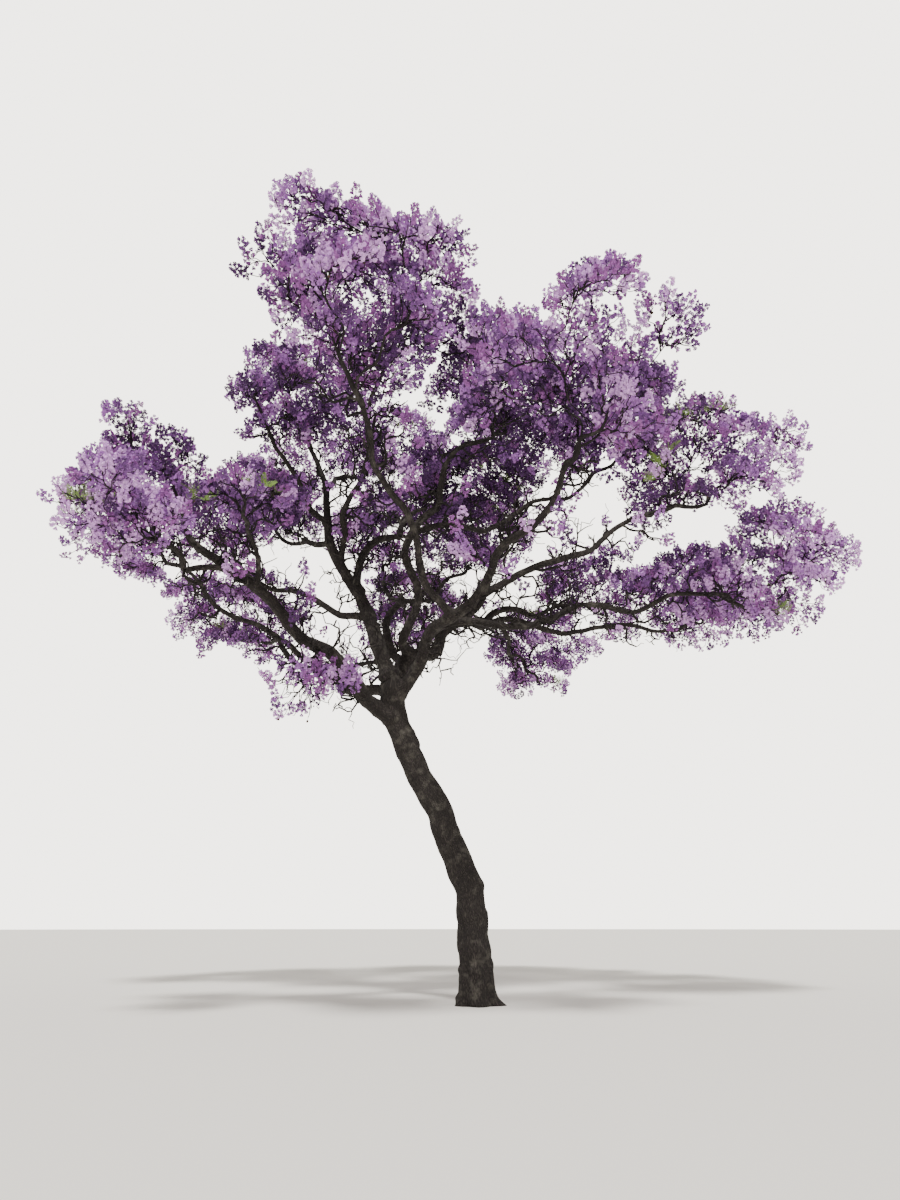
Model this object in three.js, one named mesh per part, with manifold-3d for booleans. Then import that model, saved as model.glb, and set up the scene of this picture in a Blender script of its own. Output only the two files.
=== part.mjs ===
// A jacaranda in full bloom, about 17 m tall: a leaning trunk with a flared foot, boughs that wander as they
// climb, and a mass of blossom on twigs at the tip of every bough.
// Millimetres, +Z up. The origin is the centre of the trunk's flat cut at ground level. +X runs to the right
// of the tree as it is seen from its front, and +Y runs away from the viewer.
import * as THREE from "three";
import { mergeVertices } from "three/addons/utils/BufferGeometryUtils.js";
import Module from "manifold-3d";

const wasm = await Module();
wasm.setup();

const UP = new THREE.Vector3(0, 0, 1);
const ACROSS = new THREE.Vector3(0, 1, 0);

// The gap between a piece and what carries it, and how far a face may move where needless corners are dropped
const SEAT_GAP = 0.5;
const LIMB_SLACK = 0.05;
const MASS_SLACK = 2;

// Limbs: straight steps in a centre line, the spacing of rings and number of sides by size of limb, and the
// marks along a limb that show what would touch it
const COURSE_STEPS = 24;
const TRUNK_FORM = { spacing: 420, sides: 15 };
const BOUGH_FORM = { spacing: 660, sides: 6 };
const SLIM_FORM = { spacing: 660, sides: 5 };
const SLIM_GIRTH = 100;
const LIMB_MARKS = 96;

// The trunk's foot: how much wider and how high the flare is, the ridges that run down into it, how far below
// ground the trunk is begun, and the block of ground that it is cut with
const FLARE = { spread: 0.3, height: 360, ridges: 5, relief: 0.13, fade: 900, turn: 0.6 };
const BELOW_GROUND = 420;
const GROUND = { side: 3400, depth: 1700 };

// A mass of blossom: the space that it keeps to, and where that lies past the bough's tip
const REACH = 2400;
const FLATNESS = 0.68;
const AHEAD = 0.5;
const ABOVE = 0.3;
const CELL_MARGIN = 12;
const LIMB_MARGIN = 12;

// Twigs: their sides, the radius at a twig's end and the least radius, how a twig thickens with what it
// carries, how much of its carrier its foot takes up, and how far off its middle it meets a spray
const TWIG_SIDES = 3;
const TWIG_GIRTH = 15;
const THINNEST = 6;
const TWIG_THICKENING = 0.42;
const FOOT_SHARE = 0.45;
const SEAT_SHARE = 0.28;
const STEM_STEPS = 3;
const STEM_BEND = 0.4;

// Where others may leave a twig, what a sharp turn or a way through another spray costs when a place is
// chosen, the marks along a twig for that, and the room that it keeps to every limb
const LEAVING = [0.2, 0.29, 0.38, 0.47, 0.56, 0.65, 0.74];
const TURN_COST = 1.7;
const CROSSING_COST = 3;
const CROSSING_MARKS = 12;
const TWIG_MARKS = 8;
const TWIG_ROOM = 45;

// The first mass's seed: each later mass has the next number
const SEED = 4;

// Sprays of blossom: half sizes of one spray in a mass of full reach, how many such a mass has, by what power
// of its reach a smaller mass has fewer, and how the sprays are scattered and faced
const SPRAY = { long: 760, wide: 620, thick: 250 };
const SPRAYS = 15;
const SPRAY_POWER = 1.2;
const SPRAY_SIZES = [0.8, 1.15];
const SHELL = [0.2, 0.86];
const SHELL_POWER = 0.5;
const CHOICES = 10;
const TRIES = 400;
const FACE_UP = 0.8;
const FACE_OUT = 0.55;
const FACE_LOOSE = 0.5;

// An even eight-faced spray grown by this many millimetres at its corners has faces that lie 1 mm further out
const FACE_ROOM = Math.sqrt(3);

// Each limb has what carries it and how far along, the place of its tip, its radii at foot and tip, and its
// bends: the degrees that it turns and lifts from foot to tip, and the sway, phase and number of its waves.
const limb = (name, carrier, at, tip, girths, bends) => ({ name, carrier, at, tip, girths, bends });
const bend = (turn, lift, sway, phase, waves) => ({ turn, lift, sway, phase, waves });
const LIMBS = [
  limb("trunk", null, 0, [-2400, 0, 7000], [360, 270], bend(5, 35, 22, 0.15, 0.7)),
  limb("long_bough", "trunk", 0.87, [-7700, -700, 9000], [200, 75], bend(-6, -3, 12, 0.52, 2.7)),
  limb("long_lower", "long_bough", 0.79, [-8500, -1800, 8200], [75, 42], bend(60, 26, 20, 0.94, 1.8)),
  limb("long_riser", "long_bough", 0.74, [-6900, -1700, 9000], [60, 38], bend(0, 30, 16, 0, 0.7)),
  limb("long_drop", "long_bough", 0.38, [-4800, -1300, 6600], [65, 34], bend(0, -10, 30, 0.5, 0.7)),
  limb("left_leader", "trunk", 1, [-4400, 1700, 14000], [200, 55], bend(6, 20, 12, 0.94, 2)),
  limb("leader_side", "left_leader", 0.62, [-6000, 200, 12700], [80, 45], bend(3, 23, 13, 0.53, 1.3)),
  limb("leader_crown", "left_leader", 0.79, [-1700, 3200, 14800], [75, 48], bend(1, -5, 4, 0.96, 1.4)),
  limb("leader_near", "left_leader", 0.48, [-4400, -2400, 13400], [80, 45], bend(0, 20, 16, 0.2, 1.7)),
  limb("leader_far", "left_leader", 0.55, [-3900, 5000, 13000], [80, 45], bend(0, 20, 16, 0.9, 1.6)),
  limb("leader_back", "left_leader", 0.25, [-5600, 3600, 10800], [90, 45], bend(0, 20, 16, 0.7, 1.8)),
  limb("middle_bough", "left_leader", 0.34, [-800, 500, 12500], [120, 48], bend(-5, -46, 26, 0.95, 1.8)),
  limb("right_bough", "trunk", 0.97, [4600, 1100, 10900], [200, 50], bend(-21, -40, 23, 0.14, 3.5)),
  limb("right_top", "right_bough", 0.4, [1900, 200, 13800], [90, 45], bend(0, 30, 16, 0.6, 1.8)),
  limb("right_low", "right_bough", 0.5, [5400, -2400, 9200], [90, 45], bend(0, 10, 16, 0.2, 2)),
  limb("right_far", "right_bough", 0.6, [5000, 3800, 9900], [80, 45], bend(0, 10, 16, 0.1, 1.6)),
  limb("inner_bough", "right_bough", 0.08, [-500, 4200, 12200], [130, 48], bend(11, -4, 23, 0.73, 1.6)),
  limb("inner_far", "inner_bough", 0.5, [2400, 3500, 12700], [75, 45], bend(0, 20, 16, 0.4, 1.7)),
  limb("near_riser", "right_bough", 0.13, [-1200, -2700, 13000], [120, 48], bend(90, 9, 30, 0.42, 2.9)),
  limb("near_top", "near_riser", 0.45, [1900, -2900, 12700], [70, 45], bend(0, 20, 16, 0.3, 2.1)),
  limb("far_bough", "trunk", 0.93, [-3400, 6600, 9800], [160, 50], bend(0, 5, 18, 0.3, 2.6)),
  limb("far_left", "far_bough", 0.42, [-6800, 5000, 10900], [90, 45], bend(0, 15, 16, 0.8, 1.9)),
  limb("far_right", "far_bough", 0.5, [1300, 6400, 10300], [90, 45], bend(0, 15, 16, 0.5, 1.9)),
  limb("near_bough", "trunk", 0.95, [-2400, -6400, 9700], [160, 50], bend(0, 0, 18, 0.9, 2.6)),
  limb("near_left", "near_bough", 0.4, [-6200, -5200, 10200], [90, 45], bend(0, 15, 16, 0.4, 1.9)),
  limb("near_right", "near_bough", 0.5, [1600, -5600, 10400], [90, 45], bend(0, 15, 16, 0.1, 1.8)),
  limb("near_out", "near_bough", 0.3, [4200, -5000, 9000], [90, 45], bend(0, 0, 16, 0.3, 2.7)),
];

// Masses that are smaller than the rest, or whose middle lies otherwise than straight past the bough's tip
const MASSES = {
  long_bough: { reach: 1500, middle: [-8860, -700, 10100] },
  long_lower: { reach: 1250, middle: [-9300, -1900, 8400] },
  long_riser: { reach: 1200, middle: [-7000, -1900, 9400] },
  long_drop: { reach: 1150, middle: [-5000, -1300, 5900] },
  left_leader: { reach: 2100 },
  leader_side: { reach: 1700, middle: [-5900, 100, 13300] },
  leader_back: { reach: 1900 },
  near_left: { reach: 2200 },
  leader_far: { reach: 2100 },
};

const BARK = new THREE.MeshStandardMaterial({ color: 0x51463f, roughness: 0.95, metalness: 0 });
const BLOSSOM = new THREE.MeshStandardMaterial({ color: 0xa98ac6, roughness: 0.8, metalness: 0 });

// Seeded numbers from 0 to 1, the same at every run
function seeded(seed) {
  let state = seed;
  return () => {
    state = (state + 0x6d2b79f5) | 0;
    let mixed = Math.imul(state ^ (state >>> 15), state | 1);
    mixed ^= mixed + Math.imul(mixed ^ (mixed >>> 7), mixed | 61);
    return ((mixed ^ (mixed >>> 14)) >>> 0) / 2 ** 32;
  };
}

function between([low, high], share) {
  return low + (high - low) * share;
}

function solidOf(geometry) {
  geometry.deleteAttribute("normal");
  geometry.deleteAttribute("uv");
  const merged = mergeVertices(geometry);
  return new wasm.Manifold(
    new wasm.Mesh({
      numProp: 3,
      vertProperties: merged.attributes.position.array,
      triVerts: Uint32Array.from(merged.index.array),
    }),
  );
}

// The largest piece of a solid without its needless corners: loose scraps and sealed hollows are left behind
function largestOf(solid, slack) {
  const pieces = solid.asOriginal().simplify(slack).decompose();
  return pieces.reduce((best, piece) => (piece.volume() > best.volume() ? piece : best));
}

// The centre line of a limb: it wanders by its bends, then is turned and sized to run from foot to tip
function courseOf(foot, tip, bends) {
  const points = [new THREE.Vector3()];
  for (let i = 0; i < COURSE_STEPS; i++) {
    const along = (i + 0.5) / COURSE_STEPS;
    const wave = 2 * Math.PI * (along * bends.waves + bends.phase);
    const heading = THREE.MathUtils.degToRad(bends.turn * (along - 0.5) + bends.sway * Math.cos(wave));
    const rise = THREE.MathUtils.degToRad(bends.lift * (along - 0.5) + bends.sway * Math.sin(wave));
    const step = new THREE.Vector3(Math.cos(rise) * Math.cos(heading), Math.cos(rise) * Math.sin(heading));
    points.push(step.setZ(Math.sin(rise)).add(points[i]));
  }
  const end = points[COURSE_STEPS].clone();
  const span = tip.clone().sub(foot);
  const size = span.length() / end.length();
  const endRise = Math.atan2(end.z, Math.hypot(end.x, end.y));
  const spanRise = Math.atan2(span.z, Math.hypot(span.x, span.y));
  for (const point of points) {
    point.applyAxisAngle(UP, -Math.atan2(end.y, end.x));
    point.applyAxisAngle(ACROSS, endRise - spanRise);
    point.applyAxisAngle(UP, Math.atan2(span.y, span.x));
    point.multiplyScalar(size).add(foot);
  }
  return points;
}

// The place at a share of the way along a limb's centre line
function placeOn(points, share) {
  const step = Math.min(Math.floor(share * COURSE_STEPS), COURSE_STEPS - 1);
  return points[step].clone().lerp(points[step + 1], share * COURSE_STEPS - step);
}

// A tapering rod along a curve: girthAt gives its radius from the share along it and the angle round it, and
// extra makes it that much larger round about and at both ends
function rodAlong(curve, steps, sides, girthAt, extra = 0) {
  const angles = Array.from({ length: sides }, (_, i) => (2 * Math.PI * i) / sides);
  const corners = angles.map((angle) => new THREE.Vector2(Math.cos(angle), Math.sin(angle)));
  const rod = new THREE.ExtrudeGeometry(new THREE.Shape(corners), { depth: 1, steps, bevelEnabled: false });
  const frames = curve.computeFrenetFrames(steps);
  const ends = { 0: -extra, [steps]: extra };
  const corner = rod.attributes.position;
  for (let i = 0; i < corner.count; i++) {
    const ring = Math.round(corner.getZ(i) * steps);
    const girth = girthAt(ring / steps, Math.atan2(corner.getY(i), corner.getX(i))) + extra;
    const place = curve.getPoint(ring / steps);
    place.addScaledVector(frames.tangents[ring], ends[ring] ?? 0);
    place.addScaledVector(frames.normals[ring], girth * corner.getX(i));
    place.addScaledVector(frames.binormals[ring], girth * corner.getY(i));
    corner.setXYZ(i, place.x, place.y, place.z);
  }
  return solidOf(rod);
}

// The trunk: it starts below ground, widens into ridges towards its foot, and is cut flat at ground level
function trunkSolid(shape, extra) {
  const out = shape.points[0].clone().sub(shape.points[1]).setLength(BELOW_GROUND);
  const curve = new THREE.CatmullRomCurve3([out.add(shape.points[0]), ...shape.points]);
  const girthAt = (along, angle) => {
    const height = Math.max(0, curve.getPoint(along).z);
    const flare = 1 + FLARE.spread * Math.exp(-height / FLARE.height);
    const ridge = FLARE.relief * Math.exp(-height / FLARE.fade) * Math.cos(FLARE.ridges * angle + FLARE.turn);
    return between(shape.girths, along) * (flare + ridge);
  };
  const steps = Math.round(curve.getLength() / TRUNK_FORM.spacing);
  const whole = rodAlong(curve, steps, TRUNK_FORM.sides, girthAt, extra);
  const ground = new THREE.BoxGeometry(GROUND.side, GROUND.side, GROUND.depth);
  return whole.subtract(solidOf(ground.translate(0, 0, -GROUND.depth / 2)));
}

// A limb's solid, larger by extra where it is used to cut its neighbours clear
function limbSolid(shape, extra) {
  if (!shape.carrier) {
    return trunkSolid(shape, extra);
  }
  const form = shape.girths[0] > SLIM_GIRTH ? BOUGH_FORM : SLIM_FORM;
  const steps = Math.round(shape.curve.getLength() / form.spacing);
  return rodAlong(shape.curve, steps, form.sides, (along) => between(shape.girths, along), extra);
}

// The limbs in the order of the list, each cut clear of those before it
function growLimbs() {
  const grown = new Map();
  for (const row of LIMBS) {
    const carrier = grown.get(row.carrier);
    const foot = carrier ? placeOn(carrier.points, row.at) : new THREE.Vector3();
    const points = courseOf(foot, new THREE.Vector3(...row.tip), row.bends);
    const shape = { ...row, foot, points, curve: new THREE.CatmullRomCurve3(points) };
    let solid = limbSolid(shape, 0);
    for (const other of grown.values()) {
      solid = solid.subtract(other.envelope);
    }
    shape.solid = largestOf(solid, LIMB_SLACK);
    shape.envelope = limbSolid(shape, SEAT_GAP);
    shape.marks = marksAlong(shape);
    grown.set(row.name, shape);
  }
  return grown;
}

// Places along a limb with its radius there, for finding what would touch it
function marksAlong(shape) {
  return Array.from({ length: LIMB_MARKS + 1 }, (_, i) => ({
    place: placeOn(shape.points, i / LIMB_MARKS),
    girth: between(shape.girths, i / LIMB_MARKS) + LIMB_MARGIN,
    owner: shape.name,
  }));
}

// The space of each bough's mass: a flattened ball past its tip, less what lies nearer to another mass
function massSpaces(limbs) {
  const boughs = [...limbs.values()].filter((shape) => shape.carrier);
  const spaces = boughs.map((bough) => {
    const { reach = REACH, middle } = MASSES[bough.name] ?? {};
    const tip = bough.points[COURSE_STEPS];
    const onward = tip.clone().sub(bough.points[COURSE_STEPS - 1]).normalize();
    const past = tip.clone().addScaledVector(onward, AHEAD * reach).addScaledVector(UP, ABOVE * reach);
    return { bough, reach, onward, middle: middle ? new THREE.Vector3(...middle) : past };
  });
  for (const space of spaces) {
    const neighbours = spaces.filter((other) => other !== space);
    space.walls = neighbours.map((other) => {
      const outward = other.middle.clone().sub(space.middle).normalize();
      return { outward, from: space.middle.clone().add(other.middle).multiplyScalar(0.5) };
    });
    const marks = [...limbs.values()].flatMap((shape) => shape.marks);
    space.marks = marks.filter((mark) => mark.place.distanceTo(space.middle) < space.reach + SPRAY.long);
  }
  return spaces;
}

function keepsInside(space, place) {
  const from = place.clone().sub(space.middle);
  if (Math.hypot(from.x, from.y, from.z / FLATNESS) > space.reach) {
    return false;
  }
  return space.walls.every((wall) => place.clone().sub(wall.from).dot(wall.outward) < -CELL_MARGIN);
}

// A spray at a random place of the space, facing up and outward, or nothing where it leaves the space or
// touches a limb
function trySpray(space, random) {
  const around = 2 * Math.PI * random();
  const level = 2 * random() - 1;
  const across = Math.sqrt(1 - level * level);
  const outward = new THREE.Vector3(across * Math.cos(around), across * Math.sin(around), level);
  const size = (between(SPRAY_SIZES, random()) * (space.reach / REACH + 1)) / 2;
  const away = between(SHELL, random() ** SHELL_POWER) * space.reach;
  const middle = outward.clone().multiply(new THREE.Vector3(away, away, away * FLATNESS)).add(space.middle);
  const loose = new THREE.Vector3(random() - 0.5, random() - 0.5, random() - 0.5).multiplyScalar(FACE_LOOSE);
  const facing = loose.addScaledVector(outward, FACE_OUT).addScaledVector(UP, FACE_UP).normalize();
  const spin = 2 * Math.PI * random();
  const long = new THREE.Vector3(Math.cos(spin), Math.sin(spin), 0).projectOnPlane(facing).normalize();
  const axes = [
    { way: long, half: SPRAY.long * size },
    { way: facing.clone().cross(long), half: SPRAY.wide * size },
    { way: facing, half: SPRAY.thick * size },
  ];
  const ends = axes.flatMap(({ way, half }) => [way.clone().setLength(half), way.clone().setLength(-half)]);
  if (!ends.every((end) => keepsInside(space, end.add(middle)))) {
    return null;
  }
  const spray = { middle, axes };
  return space.marks.some(({ place, girth }) => isWithin(spray, place, FACE_ROOM * girth)) ? null : spray;
}

// Whether a place lies in a spray, or in one whose half sizes are larger by the given room
function isWithin({ middle, axes }, place, room = 0) {
  const from = place.clone().sub(middle);
  return axes.reduce((sum, { way, half }) => sum + Math.abs(from.dot(way)) / (half + room), 0) < 1;
}

function spraySolid({ middle, axes }) {
  const [long, wide, thick] = axes.map(({ way, half }) => way.clone().multiplyScalar(half));
  const placed = new THREE.Matrix4().makeBasis(long, wide, thick).setPosition(middle);
  return solidOf(new THREE.OctahedronGeometry(1).applyMatrix4(placed));
}

// Sprays spread over the space: each is the one farthest from the others among a few choices
function scatterSprays(space, random) {
  const wanted = Math.round(SPRAYS * (space.reach / REACH) ** SPRAY_POWER);
  const sprays = [];
  for (let tries = 0; sprays.length < wanted && tries < TRIES; ) {
    let best = null;
    for (let choice = 0; choice < CHOICES; tries++, choice++) {
      const spray = trySpray(space, random);
      const gaps = spray ? sprays.map((other) => spreadBetween(spray.middle, other.middle)) : [];
      const gap = Math.min(Infinity, ...gaps);
      if (spray && (!best || gap > best.gap)) {
        best = { spray, gap };
      }
    }
    if (best) {
      sprays.push(best.spray);
    }
  }
  return sprays;
}

function spreadBetween(one, other) {
  return Math.hypot(one.x - other.x, one.y - other.y, (one.z - other.z) / FLATNESS);
}

// Whether a twig comes too near a limb, other than the one that it is told to leave out
function touchesLimb(space, curve, own) {
  const near = space.marks.filter((mark) => mark.owner !== own);
  return curve.getPoints(TWIG_MARKS).some((place) =>
    near.some((mark) => mark.place.distanceTo(place) < mark.girth + TWIG_ROOM),
  );
}

// The twigs of a mass: the stem goes on from the bough, and every further spray, nearest first, hangs on the
// place along the twigs already grown that takes the shortest, straightest and clearest new twig
function growTwigs(space, sprays) {
  const foot = space.bough.points[COURSE_STEPS].clone().addScaledVector(space.onward, SEAT_GAP);
  const queue = [...sprays].sort((a, b) => a.middle.distanceTo(foot) - b.middle.distanceTo(foot));
  const ahead = foot.clone().addScaledVector(space.onward, AHEAD * space.reach);
  const first = queue.reduce((a, b) => (a.middle.distanceTo(ahead) < b.middle.distanceTo(ahead) ? a : b));
  const bendAt = foot.clone().addScaledVector(space.onward, STEM_BEND * first.middle.distanceTo(foot));
  const stem = new THREE.QuadraticBezierCurve3(foot, bendAt, seatOn(first, foot));
  const twigs = [{ curve: stem, spray: first, steps: STEM_STEPS, carrier: null, load: 1, leaving: LEAVING }];
  for (const spray of queue.filter((other) => other !== first)) {
    const offers = twigs.flatMap((carrier) => offersFrom(carrier, spray, sprays));
    offers.sort((a, b) => a.cost - b.cost);
    const taken = offers.find(({ curve }) => !touchesLimb(space, curve, null));
    if (taken) {
      taken.carrier.leaving = taken.carrier.leaving.filter((at) => at !== taken.at);
      for (let below = taken.carrier; below; below = below.carrier) {
        below.load += 1;
      }
      twigs.push({ ...taken, spray, steps: 1, load: 1, leaving: LEAVING });
    }
  }
  return touchesLimb(space, stem, space.bough.name) ? [] : twigs;
}

// Where a twig ends in a spray: inside it, off its middle on the side that the twig comes from
function seatOn({ middle, axes }, from) {
  const seat = middle.clone();
  for (const { way, half } of axes.slice(0, 2)) {
    seat.addScaledVector(way, SEAT_SHARE * half * Math.sign(from.clone().sub(middle).dot(way)));
  }
  return seat;
}

// A place inside a twig, on the straight line between two of its rings
function placeAlong({ curve, steps }, at) {
  const ring = Math.floor(at * steps);
  return curve.getPoint(ring / steps).lerp(curve.getPoint((ring + 1) / steps), at * steps - ring);
}

// The new twigs that could run from the free places along a carrier to a spray, and what each would cost
function offersFrom(carrier, spray, sprays) {
  const others = sprays.filter((other) => other !== spray);
  return carrier.leaving.map((at) => {
    const from = placeAlong(carrier, at);
    const curve = new THREE.LineCurve3(from, seatOn(spray, from));
    const marks = curve.getPoints(CROSSING_MARKS);
    const crossed = others.filter((other) => marks.some((mark) => isWithin(other, mark))).length;
    const straight = curve.getTangent(0).dot(carrier.curve.getTangent(at));
    const cost = curve.getLength() * (TURN_COST - straight) * (1 + CROSSING_COST * crossed);
    return { carrier, at, curve, cost };
  });
}

// A twig's radii: it thickens with what it carries, and its foot stays inside the twig that it leaves
function girthsOf(twig) {
  const full = TWIG_GIRTH * twig.load ** TWIG_THICKENING;
  if (!twig.carrier) {
    return [full, TWIG_GIRTH];
  }
  const most = Math.max(THINNEST, FOOT_SHARE * between(twig.carrier.girths, twig.at));
  return [Math.min(full, most), Math.min(TWIG_GIRTH, most)];
}

function massSolid(space, seed) {
  const random = seeded(seed);
  const sprays = scatterSprays(space, random);
  const twigs = growTwigs(space, sprays);
  const pieces = [];
  for (const twig of twigs) {
    twig.girths = girthsOf(twig);
    pieces.push(rodAlong(twig.curve, twig.steps, TWIG_SIDES, (along) => between(twig.girths, along)));
    pieces.push(spraySolid(twig.spray));
  }
  const mass = pieces.reduce((joined, piece) => joined.add(piece));
  return largestOf(mass, MASS_SLACK);
}

// A named mesh whose own origin is the given foot
function meshOf(name, solid, foot, material) {
  const { numProp, vertProperties, triVerts } = solid.getMesh();
  const places = new Float32Array((vertProperties.length / numProp) * 3);
  for (let i = 0; i < places.length / 3; i++) {
    places[3 * i] = vertProperties[numProp * i] - foot.x;
    places[3 * i + 1] = vertProperties[numProp * i + 1] - foot.y;
    places[3 * i + 2] = vertProperties[numProp * i + 2] - foot.z;
  }
  const geometry = new THREE.BufferGeometry();
  geometry.setAttribute("position", new THREE.BufferAttribute(places, 3));
  geometry.setIndex(new THREE.BufferAttribute(triVerts, 1));
  geometry.computeVertexNormals();
  const mesh = new THREE.Mesh(geometry, material);
  mesh.name = name;
  mesh.position.copy(foot);
  return mesh;
}

const limbs = growLimbs();
const wood = new THREE.Group();
for (const shape of limbs.values()) {
  wood.add(meshOf(shape.name, shape.solid, shape.foot, BARK));
}

const crown = new THREE.Group();
massSpaces(limbs).forEach((space, i) => {
  const foot = space.bough.points[COURSE_STEPS];
  crown.add(meshOf(`${space.bough.name}_blossom`, massSolid(space, SEED + i), foot, BLOSSOM));
});

const tree = new THREE.Group();
tree.name = "jacaranda_tree";
tree.add(wood, crown);

export default tree;
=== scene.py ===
"""A jacaranda in full bloom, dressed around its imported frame.

The limbs follow the same rule as the frame's solids and get bark with real relief. The masses of blossom are
grown again by the rule of the solids and carried on to fine twigs, panicles of flowers, leaves and seed pods.
All lengths are metres, +Z is up, and the origin is the middle of the trunk's flat cut at ground level.
"""

import functools
import math
from collections import namedtuple

import bpy
import numpy as np
from mathutils import Matrix, Vector, noise


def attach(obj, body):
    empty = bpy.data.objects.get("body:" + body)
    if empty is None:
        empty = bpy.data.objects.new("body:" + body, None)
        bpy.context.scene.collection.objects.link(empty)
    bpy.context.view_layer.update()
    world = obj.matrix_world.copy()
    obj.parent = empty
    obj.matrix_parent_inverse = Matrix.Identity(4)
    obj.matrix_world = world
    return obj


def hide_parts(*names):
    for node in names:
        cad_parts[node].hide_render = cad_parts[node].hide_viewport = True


bl_info = {
    "name": "Jacaranda in bloom",
    "version": (1, 0, 0),
    "blender": (4, 5, 0),
    "location": "View3D > Sidebar > Jacaranda",
    "description": "Builds a jacaranda's bark, twigs, blossom, leaves and pods around its frame",
    "category": "Add Mesh",
}

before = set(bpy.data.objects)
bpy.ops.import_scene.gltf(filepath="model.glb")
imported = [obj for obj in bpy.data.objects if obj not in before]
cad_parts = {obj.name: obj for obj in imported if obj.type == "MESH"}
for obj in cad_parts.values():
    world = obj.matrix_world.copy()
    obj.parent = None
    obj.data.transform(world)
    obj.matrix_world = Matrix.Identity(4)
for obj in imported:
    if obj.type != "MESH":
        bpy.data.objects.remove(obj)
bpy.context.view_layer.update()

UP = np.array((0.0, 0.0, 1.0))
GOLDEN = math.pi * (3 - math.sqrt(5))
TINY = 1e-9

# The seeded draw that the solids use too: its word, its step, its shifts and its odd number
WORD = 0xFFFFFFFF
DRAW_STEP = 0x6D2B79F5
DRAW_SHIFTS = (15, 7, 14)
DRAW_ODD = 61

# Limbs: straight steps in a centre line, and the marks along one that show what would touch it
COURSE_STEPS = 24
LIMB_MARKS = 96
LIMB_MARGIN = 0.012
SEAT_GAP = 0.0005

# The trunk's foot: its flare, its toes at the ground, its ridges, and how far down it is begun
FLARE_SPREAD = 0.3
FLARE_HEIGHT = 0.36
TOE_SPREAD = 0.2
TOE_HEIGHT = 0.1
RIDGES = 5
RIDGE_RELIEF = 0.13
RIDGE_FADE = 0.9
RIDGE_TURN = 0.6
BELOW_GROUND = 0.42

# A mass of blossom: the space that it keeps to, and where that lies past the bough's tip
REACH = 2.4
FLATNESS = 0.68
AHEAD = 0.5
ABOVE = 0.3
CELL_MARGIN = 0.012

# Main twigs: their radii, how one thickens with what it carries, how it is seated, and the stem's bend
TWIG_GIRTH = 0.015
THINNEST = 0.006
TWIG_THICKENING = 0.42
FOOT_SHARE = 0.45
SEAT_SHARE = 0.28
STEM_STEPS = 3
STEM_BEND = 0.4

# Where others may leave a twig, what a turn or a crossing costs, and the room that it keeps to every limb
LEAVING = (0.2, 0.29, 0.38, 0.47, 0.56, 0.65, 0.74)
TURN_COST = 1.7
CROSSING_COST = 3
CROSSING_MARKS = 12
TWIG_MARKS = 8
TWIG_ROOM = 0.045

# Sprays: half sizes of one, how many a full mass has, and how they are scattered, sized and faced
SEED = 4
SPRAY_HALVES = (0.76, 0.62, 0.25)
SPRAYS = 15
SPRAY_POWER = 1.2
SPRAY_SIZES = (0.8, 1.15)
SHELL = (0.2, 0.86)
SHELL_POWER = 0.5
CHOICES = 10
TRIES = 400
FACE_UP = 0.8
FACE_OUT = 0.55
FACE_LOOSE = 0.5
FACE_ROOM = math.sqrt(3)

# Straying from the true course: pairs of distance and waves a metre, where each axis reads the noise
STRAY = ((0.12, 0.85), (0.045, 2.3))
STRAY_SHIFTS = ((0, 0, 0), (31.7, 5.3, 0), (0, 47.3, 11.9))

# The height above which straying is in full, so that the trunk's foot keeps its place
STRAY_FROM = 1.6

# How limbs are swept: parts between two points of a centre line, sides and levels of smoothing by kind
LINE_PARTS = 4
TRUNK_FORM = (24, 3)
BOUGH_FORM = (8, 3)
SLIM_FORM = (6, 2)

# A limb's skin: what is wall and not end, from where on an end is its tip, and how far the tip domes
WALL_SHARE = 0.6
DOME_FROM = 0.5
DOME_SHARE = 0.9

# The collar where a limb leaves its carrier, and how far the bark's relief calms down there
COLLAR_SHARE = 0.8
COLLAR_LEAST = 0.06
COLLAR_SWELL = 0.36
JOINT_CALM = 0.85

# The bark's lumps, knots, furrows and plates: how deep they are, and how many a metre holds
LUMP_SHARE = 0.1
LUMP_SCALE = 2.1
KNOT_SHARE = 0.32
KNOT_SCALE = 3.4
KNOT_LEAST = 0.32
GRAIN_STRETCH = 3.6
GRAIN_SHIFT = 7.3
FURROW_SCALE = 17
FURROW_MIDDLE = 0.22
PLATE_SCALE = 34
PLATE_SHARE = 0.35
BARK_DEPTH = 0.03
BARK_LEAST = 0.004

# The wandering of twigs: the points of a course, how far it sways for its length, and how it starts and ends
LEAD_SHARE = 0.34
SWAY_WAVES = (0.9, 2.1)
MAIN_POINTS = 13
MAIN_SIDES = 5
MAIN_SWAY = 0.06
MAIN_FULLER = 1.5
COURSE_AHEAD = 0.06
RISE_AT_END = 0.25
STEM_OVERLAP = 0.97

# Fine twigs: tips of one spray of full size, how they lie over its dome, and where they may leave a twig
CROWN_SEED = 11
TIPS = 32
TIPS_LEAST = 12
TIP_SPREAD = (0.9, 1.12)
TIP_ROOM = 0.03
DOME_BASE = -0.4
DOME_RISE = 1.25
DOME_LOOSE = 0.35
REACH_SLACK = 0.15
FINE_FROM = (0.45, 0.57, 0.69, 0.81, 0.92, 1)
FINE_LEAVING = (0.3, 0.5, 0.72)
FINE_TURN_COST = 1.5
FINE_LEAST = 0.02
FINE_NEAREST = 0.001
FINE_POINTS = 4
FINE_SIDES = 3
FINE_GIRTH = 0.0088
FINE_MOST = 0.024
FINE_SWAY = 0.1

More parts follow.
